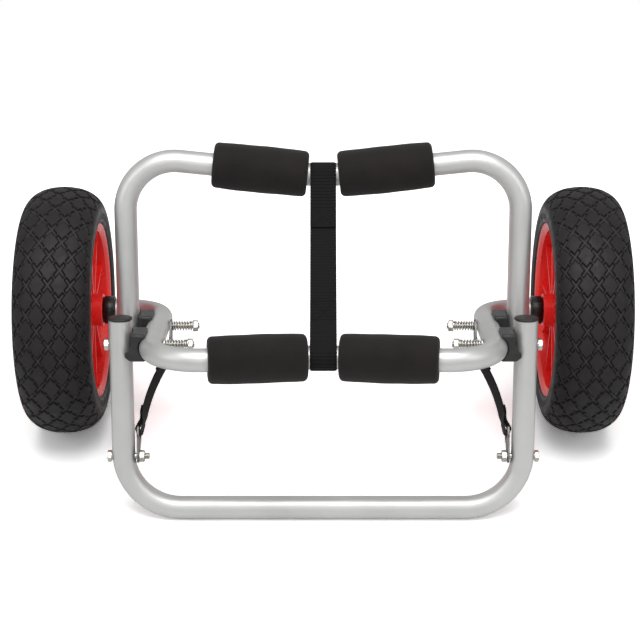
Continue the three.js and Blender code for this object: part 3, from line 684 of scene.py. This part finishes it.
def threaded(name, start, end, radius):
    """A threaded rod along X, its crests and roots as turned grooves of 1 mm pitch."""
    root = radius - 0.38
    profile = [(start, 0), (start, root)]
    along = start + 0.2
    while along + 1 < end:
        profile += [(along + 0.08, root), (along + 0.46, radius), (along + 0.58, radius)]
        along += 1
        profile.append((along, root))
    profile += [(end, root), (end, 0)]
    return revolve(name, profile, 28, ORIGIN, 80)


def bolt(name, inner, thread_end, origin, way):
    """A hex bolt along X: threaded inside, plain shank, head outside on a raised ring."""
    ring_face = LEG_FACE + 0.35
    rod = threaded(name + "_thread", inner, thread_end, 2.98)
    shank = disc(name + "_shank", thread_end, LEG_FACE, 2.95, 28)
    ring = disc(name + "_ring", LEG_FACE, ring_face, 4.75)
    head = hex_solid(name + "_head", ring_face, LEG_FACE + 4, False, True)
    return placed(merged(name, [rod, shank, ring, head], 30), way, PLACE @ Matrix.Translation(origin))


def flange_nut(name, inner, origin, way):
    """A flanged hex nut along X with its flange outwards and a crowned top."""
    outer = inner + NUT_HEIGHT
    body = hex_solid(name + "_hex", inner, outer - 1, True, False)
    rise = [(outer - 2, 0), (outer - 2, 4.6), (outer - 1, 5.5), (outer - 0.4, 5.75)]
    flange = revolve(name + "_flange", [*rise, (outer, 5.75), (outer, 0)], 48)
    return bored(name, combined(name + "_body", "UNION", body, [flange], 20), inner, origin, way)


def bored(name, body, inner, origin, way):
    """The nut with its hole, put in place."""
    drill = disc(name + "_bore", inner - 1, inner + NUT_HEIGHT + 1, 3.02, 32)
    made = combined(name, "DIFFERENCE", body, [drill], 30)
    return placed(made, way, PLACE @ Matrix.Translation(origin))


def flat_washer(name, low, radius, bore, place):
    """A washer along X with its outer edges eased."""
    return revolve(name, eased(low, low + WASHER, bore, radius, 0.25, 0.25), 56, place, 60)


def spring(name, start, end, origin, way):
    """A compression spring along X: a closed curl at both ends, open ones between."""
    wire, mean, curls, per_turn = 0.64, 4.2, 6, 28
    closed = 1.96 * wire
    turns = curls + 2
    low, high = start + wire, end - wire
    points = []
    for step in range(turns * per_turn + 1):
        turn = step / per_turn
        along = np.interp(turn, (0, 1, 1 + curls, turns), (low, low + closed, high - closed, high))
        angle = 2 * math.pi * turn
        points.append((along, mean * math.cos(angle), mean * math.sin(angle)))
    return wire_mesh(name, points, wire, 12, side_place(way, PLACE @ Matrix.Translation(origin)))


def link_plate(name, bolt_at, toward, inner_face, way):
    """A pressed steel link: an eye for the bolt and a slot for the webbing, with eased edges."""
    eye, hole = 6.5, 3.4
    start, end, half = 15.4, 26.5, 13.2
    slot_start, slot_end, slot_half = 18.0, 23.5, 10.6
    outline = rounded(start, end, half, [3, 2.2, 2.2, 3], 6)
    outline += circle(eye, math.pi / 2, 3 * math.pi / 2, 20)
    slot = rounded(slot_start, slot_end, slot_half, [1.2] * 4, 5)
    openings = [circle(hole, 0, 2 * math.pi, 33)[:-1], slot]
    tools = [prism(name + "_hole", points, -1, LINK + 1, FLAT) for points in openings]
    made = combined(name, "DIFFERENCE", prism(name, outline, 0, LINK, FLAT), tools, 30)
    along = Vector(toward).normalized()
    across = Vector((1, 0, 0)).cross(along).normalized()
    basis = Matrix((along, across, (1, 0, 0))).transposed().to_4x4()
    made.data.transform(Matrix.Translation((inner_face, bolt_at[1], bolt_at[2])) @ basis)
    softened(made, 0.3, 50)
    return placed(made, way)


def pivot_hardware(label, way, pivot, reach, seat):
    """The sprung bolt of one pivot, with its nut, its spring resting on the seat."""
    origin = (0, -reach, 0)
    made = bolt(f"pivot_screw_{pivot}_{label}", BOLT_END, THREAD_END, origin, way)
    steel(made, "arm", f"pivot_bolt_{pivot}_{label}")
    made = flange_nut(f"flanged_nut_{pivot}_{label}", NUT_FACE, origin, way)
    steel(made, "arm", f"pivot_nut_{pivot}_{label}")
    start = NUT_FACE + NUT_HEIGHT + FIT
    made = spring(f"coil_spring_{pivot}_{label}", start, seat - FIT, origin, way)
    settle(made, "arm", "steel", SPRING_LOOK, f"lock_spring_{pivot}_{label}")


def limit_hardware(label, way):
    """The stand's lower bolt and nut, and the two links of the limit strap."""
    made = bolt(f"limit_screw_{label}", LIMIT_NUT_FACE - 4.5, LOW_PLATE - 0.2, LIMIT_LOW, way)
    steel(made, "stand", f"limit_bolt_{label}")
    body = hex_solid(f"limit_hex_{label}", LIMIT_NUT_FACE, LIMIT_NUT_FACE + NUT_HEIGHT, True, True)
    made = bored(f"limit_hex_nut_{label}", body, LIMIT_NUT_FACE, LIMIT_LOW, way)
    steel(made, "stand", f"limit_nut_{label}")
    made = link_plate(f"lower_link_{label}", LIMIT_LOW, LIMIT_WAY, LOW_PLATE, way)
    settle(made, "stand", "steel", LINK_LOOK, f"limit_link_lower_{label}")
    made = link_plate(f"upper_link_{label}", LIMIT_HIGH, -LIMIT_WAY, HIGH_PLATE, way)
    settle(made, "arm", "steel", LINK_LOOK, f"limit_link_upper_{label}")


for label, way in SIDES:
    pivot_hardware(label, way, "upper", UPPER_REACH, HIGH_PLATE)
    pivot_hardware(label, way, "stand", STAND_REACH, WASHER_FACE)
    place = side_place(way, PLACE @ Matrix.Translation((0, -STAND_REACH, 0)))
    made = flat_washer(f"seat_washer_{label}", WASHER_FACE, 6.2, 3.5, place)
    steel(made, "arm", f"spring_washer_{label}")
    limit_hardware(label, way)


# Plugs and saddle spacers


def cap(name, head, base, way, up):
    """A domed plastic cap with a moulded rim, its head along +Z or -Z of the leg."""
    profile = [(-6.5, 0), (-6.5, 8.3), (-5.5, 8.7), (0.3, 8.7), (0.3, head - 0.25), (0.6, head)]
    profile += [(1.3, head), (1.9, head - 0.35), (2.3, head - 1.2), (2.55, head - 3), (2.62, 0)]
    spin = Matrix.Rotation(-math.pi / 2 * up, 4, "Y")
    return revolve(name, profile, 64, side_place(way, PLACE @ Matrix.Translation(base) @ spin), 50)


def soft_least(a, b, blend=0.8):
    """The lesser of two heights, with the crease between them rounded."""
    share = np.clip(0.5 + 0.5 * (b - a) / blend, 0, 1)
    return b * (1 - share) + a * share - blend * share * (1 - share)


def spacer(name, origin, way):
    """A moulded block between arm and leg: a round seat on the arm's side, on the leg's side one
    that is swept open where the leg turns, a hole for the bolt and round edges all over."""
    rings, spokes = 40, 240
    long_half, short_half, square, hole = 16, 13.3, 12, 3.5
    seat, edge, sweep = 11.3, 1.3, math.radians(68)
    angle = 2 * math.pi * (np.arange(spokes) + 0.5) / spokes
    c, s = np.cos(angle), np.sin(angle)
    border = (np.abs(c / long_half) ** square + np.abs(s / short_half) ** square) ** (-1 / square)
    radius = hole + (border - hole) * np.linspace(0, 1, rings + 1)[:, None]
    y, z = radius * c, radius * s
    arm_side = ARM_X + np.sqrt(np.maximum(0, seat**2 - z**2))
    inner = -soft_least(-arm_side, np.full_like(z, -(ARM_X + 5.2)))
    turn = np.mod(np.arctan2(-y, z), math.pi)
    off = np.minimum(np.abs(np.sin(turn)), np.abs(np.sin(turn - sweep))) * radius
    off = np.where(turn <= sweep, 0, off)
    leg_side = np.where(off < seat, LEG_X - np.sqrt(np.maximum(0, seat**2 - off**2)), LEG_X)
    outer = soft_least(LEG_X - 5.3 - np.maximum(0, np.abs(z) - 8.7), leg_side)
    near = np.clip(edge - (border - radius), 0, edge)
    drop = edge - np.sqrt(edge**2 - near**2)
    inner, outer = inner + drop, outer - drop
    outer = np.maximum(outer, inner + 0.4)
    there_and_back = ((inner, outer), (y, y), (z, z))
    verts = zip(*(np.concatenate([go, back[::-1]]).ravel() for go, back in there_and_back))
    place = side_place(way, PLACE @ Matrix.Translation(origin))
    return piece(name, verts, ring_faces(2 * (rings + 1), spokes, True), place, 50)


for label, way in SIDES:
    made = cap(f"stand_cap_{label}", 11.6, (LEG_X, -STAND_REACH, STAND_TOP), way, 1)
    settle(made, "stand", "plastic", PLUG_LOOK, f"stand_end_plug_{label}")
    made = cap(f"upper_cap_{label}", 10.9, (LEG_X, -UPPER_REACH, -UPPER_TAIL), way, -1)
    settle(made, "upper", "plastic", PLUG_LOOK, f"upper_end_plug_{label}")
    for pivot, reach in (("upper", UPPER_REACH), ("stand", STAND_REACH)):
        made = spacer(f"saddle_{pivot}_{label}", (0, -reach, 0), way)
        settle(made, "arm", "plastic", SPACER_LOOK, f"saddle_spacer_{pivot}_{label}")


# Webbing


LIMIT_TWIST = math.radians(12)
LIMIT_BOW = 4.0


def ribbed_strap(name, line, width, place, thickness, pitch, rib):
    """Webbing along (point, outward, across) places, with cross ribs and rounded selvedges."""
    section, edge = 12, 1.0 / width
    verts = []
    length = 0.0
    last = line[0][0]
    for point, outward, across in line:
        length += (point - last).length
        last = point
        wave = rib * math.cos(2 * math.pi * length / pitch)
        half = width / 2 + 0.125 * wave / rib
        top = thickness / 2 + wave - rib
        loop = []
        for step in range(section + 1):
            share = step / section * 2 - 1
            dip = max(0.0, (abs(share) - 1 + edge) / edge)
            loop.append((share * half, top * math.sqrt(max(0.0, 1 - dip * dip * 0.98))))
        for s, t in loop + [(s, -t) for s, t in reversed(loop)]:
            verts.append(point + across * s + outward * t)
    return piece(name, verts, ring_faces(len(line), 2 * (section + 1), False), place, 50)


def looped_line(length, radius, loop, sewn, layer):
    """The centre line of webbing round a bar at each end, folded back on itself and sewn: along the
    strap, and out from it. It starts at the first tail, goes round, and ends at the last tail."""
    radius = radius + layer / 2
    touch = math.pi / 2 - math.asin(radius / loop)
    half = layer / 2 + 0.02

    def end(start, way):
        points = [(start + way * sewn, -half), (start + way * (loop + 6), -half)]
        for step in range(33):
            angle = -touch - (2 * math.pi - 2 * touch) * step / 32
            points.append((start + way * radius * math.cos(angle), radius * math.sin(angle)))
        return [*points, (start + way * (loop + 6), half)]

    return end(0, 1) + end(length, -1)[::-1]


def resampled(points, spacing):
    """Even steps along a polyline, its corners rounded a little."""
    points = [Vector(p) for p in points]
    dense = []
    for a, b in zip(points, points[1:]):
        steps = max(1, int((b - a).length / spacing))
        dense += [a + (b - a) * step / steps for step in range(steps)]
    dense.append(points[-1])
    for _ in range(14):
        eased = [(p + q * 2 + r) / 4 for p, q, r in zip(dense, dense[1:], dense[2:])]
        dense = [dense[0], *eased, dense[-1]]
    return dense


def strap_path(points, spacing):
    """(point, outward) pairs along a flat line, outward to its left."""
    line = resampled(points, spacing)
    out = []
    for index, here in enumerate(line):
        way = (line[min(len(line) - 1, index + 1)] - line[max(0, index - 1)]).normalized()
        out.append((here, Vector((-way.y, way.x))))
    return out


def hull_webbing():
    """The strap between the two crossbars, sewn in a loop round each."""
    start = Vector((0, -UPPER_REACH, UPPER_MIDDLE - DIP_RISE / 2))
    end = Vector((0, DIP_RISE / 2 - ARM_MIDDLE, 0))
    length, along = (end - start).length, (end - start).normalized()
    across = Vector((1, 0, 0))
    out = across.cross(along).normalized()
    flat = strap_path(looped_line(length, radius=11.35, loop=30, sewn=56, layer=1.5), 0.33)
    line = [(start + along * p.x + out * p.y, along * n.x + out * n.y, across) for p, n in flat]
    made = ribbed_strap("hull_webbing", line, 24.6, PLACE, thickness=1.5, pitch=3.1, rib=0.23)
    made.data.materials.append(WEB_LOOK)
    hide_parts("hull_strap")
    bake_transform(made)
    stitches = []
    for near, far in ((33, 56), (length - 56, length - 33)):
        for a, b in box_stitch(near, far, 21):
            stitches.append(seam(start, along, across, out, a, b))
    threads = merged("hull_stitches", stitches, 60)
    threads.data.materials.append(THREAD_LOOK)
    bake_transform(threads)


def box_stitch(low, high, width):
    """A sewn box with a cross in it, as lines from corner to corner."""
    corners = rectangle(low, high, width / 2)
    lines = [(corners[k], corners[(k + 1) % 4]) for k in range(4)]
    return lines + [(corners[0], corners[2]), (corners[1], corners[3])]


def seam(start, along, across, out, a, b):
    """A row of stitches on both faces of the doubled webbing."""
    a, b = Vector(a), Vector(b)
    count = max(2, int((b - a).length / 2.6))
    parts = []
    for face in (1, -1):
        for index in range(count):
            p = a + (b - a) * (index + 0.12) / count
            q = a + (b - a) * (index + 0.88) / count
            points = []
            for step in range(7):
                share = step / 6
                spot = p + (q - p) * share
                lift = 1.3 + 0.34 * math.sin(math.pi * share)
                points.append(start + along * spot.x + across * spot.y + out * face * lift)
            parts.append(wire_mesh("stitch", points, 0.28, 6))
    return merged("seam", parts, 60)


def limit_webbing(label, way):
    """A limit strap: looped through the slot of each link, bowed and twisted a little between."""
    slot_at, loop = 25, 9
    low = LIMIT_LOW + LIMIT_WAY * slot_at
    low.x = LOW_PLATE + LINK / 2
    high = LIMIT_HIGH - LIMIT_WAY * slot_at
    high.x = HIGH_PLATE + LINK / 2
    along = (high - low).normalized()
    across = Vector((1, 0, 0)).cross(LIMIT_WAY).normalized()
    out = across.cross(along).normalized()
    length = (high - low).length
    line = []
    for p, n in strap_path(looped_line(length, radius=2.1, loop=loop, sewn=24, layer=1.5), 0.4):
        share = min(1, max(0, (p.x - loop) / (length - 2 * loop)))
        spin = Matrix.Rotation(LIMIT_TWIST * smooth(share / 0.14) * smooth((1 - share) / 0.1), 3, along)
        bow = Vector((LIMIT_BOW * math.sin(math.pi * share) ** 0.8, 0, 0))
        turned = spin @ out
        point = low + bow + along * p.x + turned * p.y
        line.append((point, along * n.x + turned * n.y, spin @ across))
    mirror = side_place(way)
    name = f"limit_webbing_{label}"
    made = ribbed_strap(name, line, 19.6, mirror, thickness=1.4, pitch=1.9, rib=0.13)
    made.data.materials.append(WEB_LOOK)
    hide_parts(f"limit_strap_{label}")
    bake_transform(made)


hull_webbing()
for label, way in SIDES:
    limit_webbing(label, way)


# Wheels


CROWN = 2.2
TREAD_RINGS = 84
TYRE_SIDES = 1040
BEAD_ARC = 1e3
FIN_COUNT = 10
FIRST_FIN = {"right": 25, "left": 5}
FIN_ENDS = ((13, 28.3, 1.5), (81.5, 28.3, 1.1))


def tyre_profile():
    """Half of the tyre's outline from the bead to the crown, as the solid has it, but round."""
    bead = [(31.5, 84.4), (31.5, 88.8), (35.0, 88.8), (36.1, 89.5), (37.1, 91.2)]
    side = []
    for step in range(61):
        angle = math.pi / 2 * step / 60
        across, up = math.cos(angle) ** (2 / CROWN), math.sin(angle) ** (2 / CROWN)
        side.append((37.9 * across, 98.8 + (TYRE - 99.05) * up))
    return bead, side


def tyre_rings():
    """(across, radius, way from the crown) of the tyre's rings, bead to bead: fine in the tread.
    The bead's rings have no way from the crown, but BEAD_ARC."""
    bead, side = tyre_profile()
    arcs = [0.0]
    for a, b in zip(side, side[1:]):
        arcs.append(arcs[-1] + math.dist(a, b))
    half = [(x, r, BEAD_ARC) for x, r in bead]
    for step in range(TREAD_RINGS + 1):
        at = arcs[-1] * step / TREAD_RINGS
        x, r = (float(np.interp(at, arcs, line)) for line in zip(*side))
        half.append((x, r, arcs[-1] - at))
    return half + [(-x, r, -s if s < BEAD_ARC else BEAD_ARC) for x, r, s in reversed(half[:-1])]


def lattice(along, arc):
    """A place on the tyre in the tread's slanted cells: whole numbers are the crosses' middles."""
    return (along / TREAD_ROUND + arc / TREAD_ACROSS) / 2, (along / TREAD_ROUND - arc / TREAD_ACROSS) / 2


def tread(along, arc):
    """How deep the pattern is cut at a place round the tyre and across it: crosses with square
    ends, deepest along their edges."""
    u, v = lattice(along, arc)
    u, v = np.abs(u - np.round(u)), np.abs(v - np.round(v))
    one = np.maximum(u * TREAD_LINE - TREAD_WIDE, v * TREAD_ARM - TREAD_REACH)
    two = np.maximum(v * TREAD_LINE - TREAD_WIDE, u * TREAD_ARM - TREAD_REACH)
    edge = np.minimum(one, two)
    return 0.75 * (1 - smooth((edge + 0.2) / 0.6)) + 0.45 * (1 - smooth((np.abs(edge + 0.45) - 0.25) / 0.4))


def tyre_points(rings):
    """The tyre's points: the tread is cut in, a mould line stands out, a groove is in the side."""
    angle = np.arange(TYRE_SIDES) * 2 * math.pi / TYRE_SIDES
    verts = np.zeros((len(rings), TYRE_SIDES, 3))
    for index, (x, r, arc) in enumerate(rings):
        size = np.full(TYRE_SIDES, r)
        away = abs(arc)
        if away < BEAD_ARC:
            size -= 1.5 * (1 - smooth((away - 39) / 4)) * tread(angle * TYRE, arc)
            size += 0.16 * (1 - smooth((away - 0.25) / 0.4))
            size -= 0.35 * smooth((away - 47.5) / 0.8) * (1 - smooth((away - 49) / 0.8))
        verts[index, :, 0] = x * (1 - (1 - size / r) * 1.2)
        verts[index, :, 1] = size * np.cos(angle)
        verts[index, :, 2] = size * np.sin(angle)
    return verts.reshape(-1, 3)


def tyre_quads(rows):
    """The faces between the rings, also from the last to the first."""
    index = np.arange(rows * TYRE_SIDES).reshape(rows, TYRE_SIDES)
    beside = np.roll(index, -1, axis=1)
    corners = [index, beside, np.roll(beside, -1, axis=0), np.roll(index, -1, axis=0)]
    return np.stack(corners, axis=-1).reshape(-1, 4)


def tyre_cells(rings):
    """Each face corner's place in the tread's cells, for the rubber's look."""
    arcs = np.clip([arc for _, _, arc in rings], -60, 60)
    along = np.arange(TYRE_SIDES + 1) * 2 * math.pi * TYRE / TYRE_SIDES
    here = np.stack(lattice(along[None, :], arcs[:, None]), axis=-1)
    below = np.roll(here, -1, axis=0)
    corners = [here[:, :-1], here[:, 1:], below[:, 1:], below[:, :-1]]
    return np.stack(corners, axis=2).reshape(-1, 4, 2)


def tyre(label, way, points, quads, cells):
    """One tyre from the shared points, mirrored for the left side."""
    data = bpy.data.meshes.new(f"tyre_tread_{label}")
    moved = (points * (way, 1, 1) + (way * WHEEL_X, AXLE_Y, TYRE)) * 0.001
    turned = slice(None, None, way * -1)
    data.vertices.add(len(moved))
    data.vertices.foreach_set("co", moved.astype(np.float32).ravel())
    data.loops.add(quads.size)
    data.loops.foreach_set("vertex_index", quads[:, turned].astype(np.int32).ravel())
    data.polygons.add(len(quads))
    data.polygons.foreach_set("loop_start", np.arange(0, quads.size, 4, dtype=np.int32))
    data.polygons.foreach_set("loop_total", np.full(len(quads), 4, dtype=np.int32))
    data.polygons.foreach_set("use_smooth", np.ones(len(quads), dtype=bool))
    data.update(calc_edges=True)
    layer = data.uv_layers.new(name="cells")
    layer.data.foreach_set("uv", cells[:, turned].astype(np.float32).ravel())
    made = shown(data.name, data)
    settle(made, f"wheel_{label}", "tyre", RUBBER_LOOK, f"tyre_{label}")


def fin(label, index):
    """A flat rib from the hub to the cone, standing out on both faces of the web."""
    verts = [(x, y, z) for y, high, thick in FIN_ENDS for x in (-high, high) for z in (-thick, thick)]
    faces = [(0, 1, 3, 2), (4, 6, 7, 5), (0, 4, 5, 1), (2, 3, 7, 6), (0, 2, 6, 4), (1, 5, 7, 3)]
    turn = math.radians(FIRST_FIN[label]) + 2 * math.pi * index / FIN_COUNT
    return piece(f"fin_{index}", verts, faces, Matrix.Rotation(turn, 4, "X"), 30)


def rim(label, way):
    """The dished rim: hub, web, cone, bead seat and lip, and its fins on both faces."""
    hub = [(38.2, 8.75), (38.2, 15.6), (37.4, 16.3), (10, 16.4), (4.5, 17.4), (2.6, 21)]
    cone = [(2.5, 68), (4, 71.5), (10, 78.7), (31.5, 80.4), (34.0, 83.2)]
    lip = [(35.2, 86.6), (35.2, 87.8), (34.7, 88.3), (31.9, 88.3), (31.8, 84.1)]
    half = hub + cone + lip
    body = revolve(f"rim_body_{label}", half[::-1] + [(-x, r) for x, r in half], 120, ORIGIN, 30)
    fins = [fin(label, index) for index in range(FIN_COUNT)]
    made = combined(f"finned_rim_{label}", "UNION", body, fins, 30)
    made.data.transform(METRES @ Matrix.Translation((way * WHEEL_X, AXLE_Y, TYRE)))
    softened(made, 0.45, 35)
    settle(made, f"wheel_{label}", "rim", RIM_LOOK, f"rim_{label}")


def bearing(label, place):
    """The sleeve that turns with the rim on the axle."""
    bore, outer, chamfer = 6.1, 8.25, 0.3
    profile = eased(HUB_IN + 0.05, HUB_OUT - 0.05, bore, outer, chamfer, chamfer)
    made = revolve(f"bearing_{label}", profile, 40, place)
    settle(made, f"wheel_{label}", "plastic", BEARING_LOOK, f"hub_bush_{label}")


def stub_axle(label, place):
    """A steel pin with turned ends, from inside the arm's tube to past the wheel."""
    radius, lead, point = 5.95, 0.55, 1.05
    profile = eased(AXLE_IN, HUB_OUT + 8.95, 0, radius, lead, point)
    made = revolve(f"stub_axle_{label}", profile, 40, place)
    steel(made, "arm", f"axle_{label}")


def axle_collar(label, place):
    """The plastic bush in the tube's end, with a round-edged collar against the hub."""
    bore, fit = 6.25, 8.9
    start, face = ARM_TUBE_END + 0.4, HUB_IN - 0.35
    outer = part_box(f"axle_end_bush_{label}")[1].z * 1000 - TYRE
    profile = [(AXLE_IN, bore), (AXLE_IN, fit), (start, fit), (start, outer - 1.2)]
    profile += [(start + 0.4, outer - 0.5), (start + 1.2, outer - 0.1)]
    profile += [(face - 1.45, outer - 0.1), (face - 0.55, outer - 0.5), (face, outer - 1.3), (face, bore)]
    made = revolve(f"axle_collar_{label}", profile, 64, place, 50)
    settle(made, "arm", "plastic", BUSH_LOOK, f"axle_end_bush_{label}")


def wire_clip(label, place):
    """A bowed wire clip through the axle's end."""
    x, reach, bow, waist, bend = HUB_OUT + 4.2, 14, 12, 7.3, 4
    corners = [(x, 0, -reach), (x, 0, reach), (x, bow, reach), (x, waist, 0), (x, bow, -reach)]
    line = [point for point, _ in bent_path(corners, [bend] * 3, 10)]
    made = wire_mesh(f"wire_clip_{label}", line, 0.98, 14, place)
    settle(made, "arm", "steel", SPRING_LOOK, f"axle_clip_{label}")


rings = tyre_rings()
shared = tyre_points(rings), tyre_quads(len(rings)), tyre_cells(rings)
for label, way in SIDES:
    tyre(label, way, *shared)
for label, way in SIDES:
    rim(label, way)
    place = side_place(way, LEVEL)
    bearing(label, place)
    stub_axle(label, place)
    axle_collar(label, place)
    made = flat_washer(f"hub_washer_{label}", HUB_OUT + FIT, 11.9, 6.4, place)
    steel(made, "arm", f"axle_washer_{label}")
    wire_clip(label, place)


# Stage, light and camera


FLOOR_SEEN = 1.8
FLOOR_LIT = 0.8
FLOOR_FADE = (0.7, 1.3)
WORLD_LIT = 0.38
WORLD_GLOSSY = 0.55
PHOTO_WIDTH = 640
SENSOR = 36


def stage():
    """A white floor that keeps the object's shadow near it and is plain white further out."""
    data = bpy.data.meshes.new("floor")
    data.from_pydata([(-6, -6, 0), (6, -6, 0), (6, 6, 0), (-6, 6, 0)], [], [(0, 1, 2, 3)])
    floor = shown("floor", data)
    floor.location.z = -0.0004
    data.materials.append(floor_white())


def floor_white():
    """Matte white near the object, and far from it plain white to the camera."""
    material = bpy.data.materials.new("floor_white")
    material.use_nodes = True
    kit = Nodes(material.node_tree)
    kit.tree.nodes.remove(kit.tree.nodes["Principled BSDF"])
    seen = kit.node("ShaderNodeLightPath").outputs["Is Camera Ray"]
    matte = kit.node("ShaderNodeBsdfDiffuse")
    kit.link(kit.span(seen, 0, 1, FLOOR_LIT, FLOOR_SEEN), matte.inputs["Color"])
    where = kit.node("ShaderNodeTexCoord").outputs["Object"]
    away = kit.filled("ShaderNodeVectorMath", {0: where}, operation="LENGTH")
    far = kit.span(away.outputs["Value"], *FLOOR_FADE, 0, 1)
    plain = kit.node("ShaderNodeEmission").outputs["Emission"]
    values = {"Fac": kit.math("MULTIPLY", far, seen), 1: matte.outputs["BSDF"], 2: plain}
    mixed = kit.filled("ShaderNodeMixShader", values)
    kit.link(mixed.outputs["Shader"], kit.tree.nodes["Material Output"].inputs["Surface"])
    return material


def world():
    """Even white light, a little brighter in reflections and plain white to the camera."""
    made = bpy.data.worlds.new("studio")
    bpy.context.scene.world = made
    made.use_nodes = True
    kit = Nodes(made.node_tree)
    back = kit.tree.nodes["Background"]
    kit.feed(back.inputs["Color"], (1, 1, 1))
    rays = kit.node("ShaderNodeLightPath")
    glossy = kit.span(rays.outputs["Is Glossy Ray"], 0, 1, WORLD_LIT, WORLD_GLOSSY)
    kit.link(kit.math("MAXIMUM", glossy, rays.outputs["Is Camera Ray"]), back.inputs["Strength"])


def lamp(name, place, target, size, power):
    """A rectangular lamp that faces its target."""
    data = bpy.data.lights.new(name, "AREA")
    data.shape = "RECTANGLE"
    data.size, data.size_y = size
    data.energy = power
    made = shown(name, data)
    made.location = place
    made.rotation_mode = "QUATERNION"
    made.rotation_quaternion = (Vector(target) - Vector(place)).to_track_quat("-Z", "Y")


def camera():
    """The photograph's camera: in front, above, and a little off to the side."""
    elevation = math.radians(31.1)
    distance, focal, up_shift, side_shift = 1750.9, 1721.65, 10.4, -3.05
    view = Vector((0, math.cos(elevation), -math.sin(elevation)))
    up = Vector((0, math.sin(elevation), math.cos(elevation)))
    target = Vector((0, AXLE_Y, TYRE))
    data = bpy.data.cameras.new("photo_camera")
    data.lens = focal / PHOTO_WIDTH * SENSOR
    data.sensor_width = SENSOR
    made = shown("photo_camera", data)
    made.location = (target - view * distance - up * up_shift + Vector((side_shift, 0, 0))) * 0.001
    made.rotation_mode = "QUATERNION"
    made.rotation_quaternion = view.to_track_quat("-Z", "Y")
    bpy.context.scene.camera = made


stage()
world()
lamp("overhead", (0, -0.5, 1.7), (0, 0, 0.1), (1.5, 1.1), 22)
lamp("front", (0, -2.3, 1.2), (0, 0, 0.15), (1.6, 1.0), 4)
lamp("left", (-1.5, -0.9, 1.1), (0.2, 0, 0.12), (0.8, 1.0), 4)
lamp("right", (1.5, -0.9, 1.1), (-0.2, 0, 0.12), (0.8, 1.0), 4)
camera()
bpy.context.scene.view_settings.view_transform = "Standard"
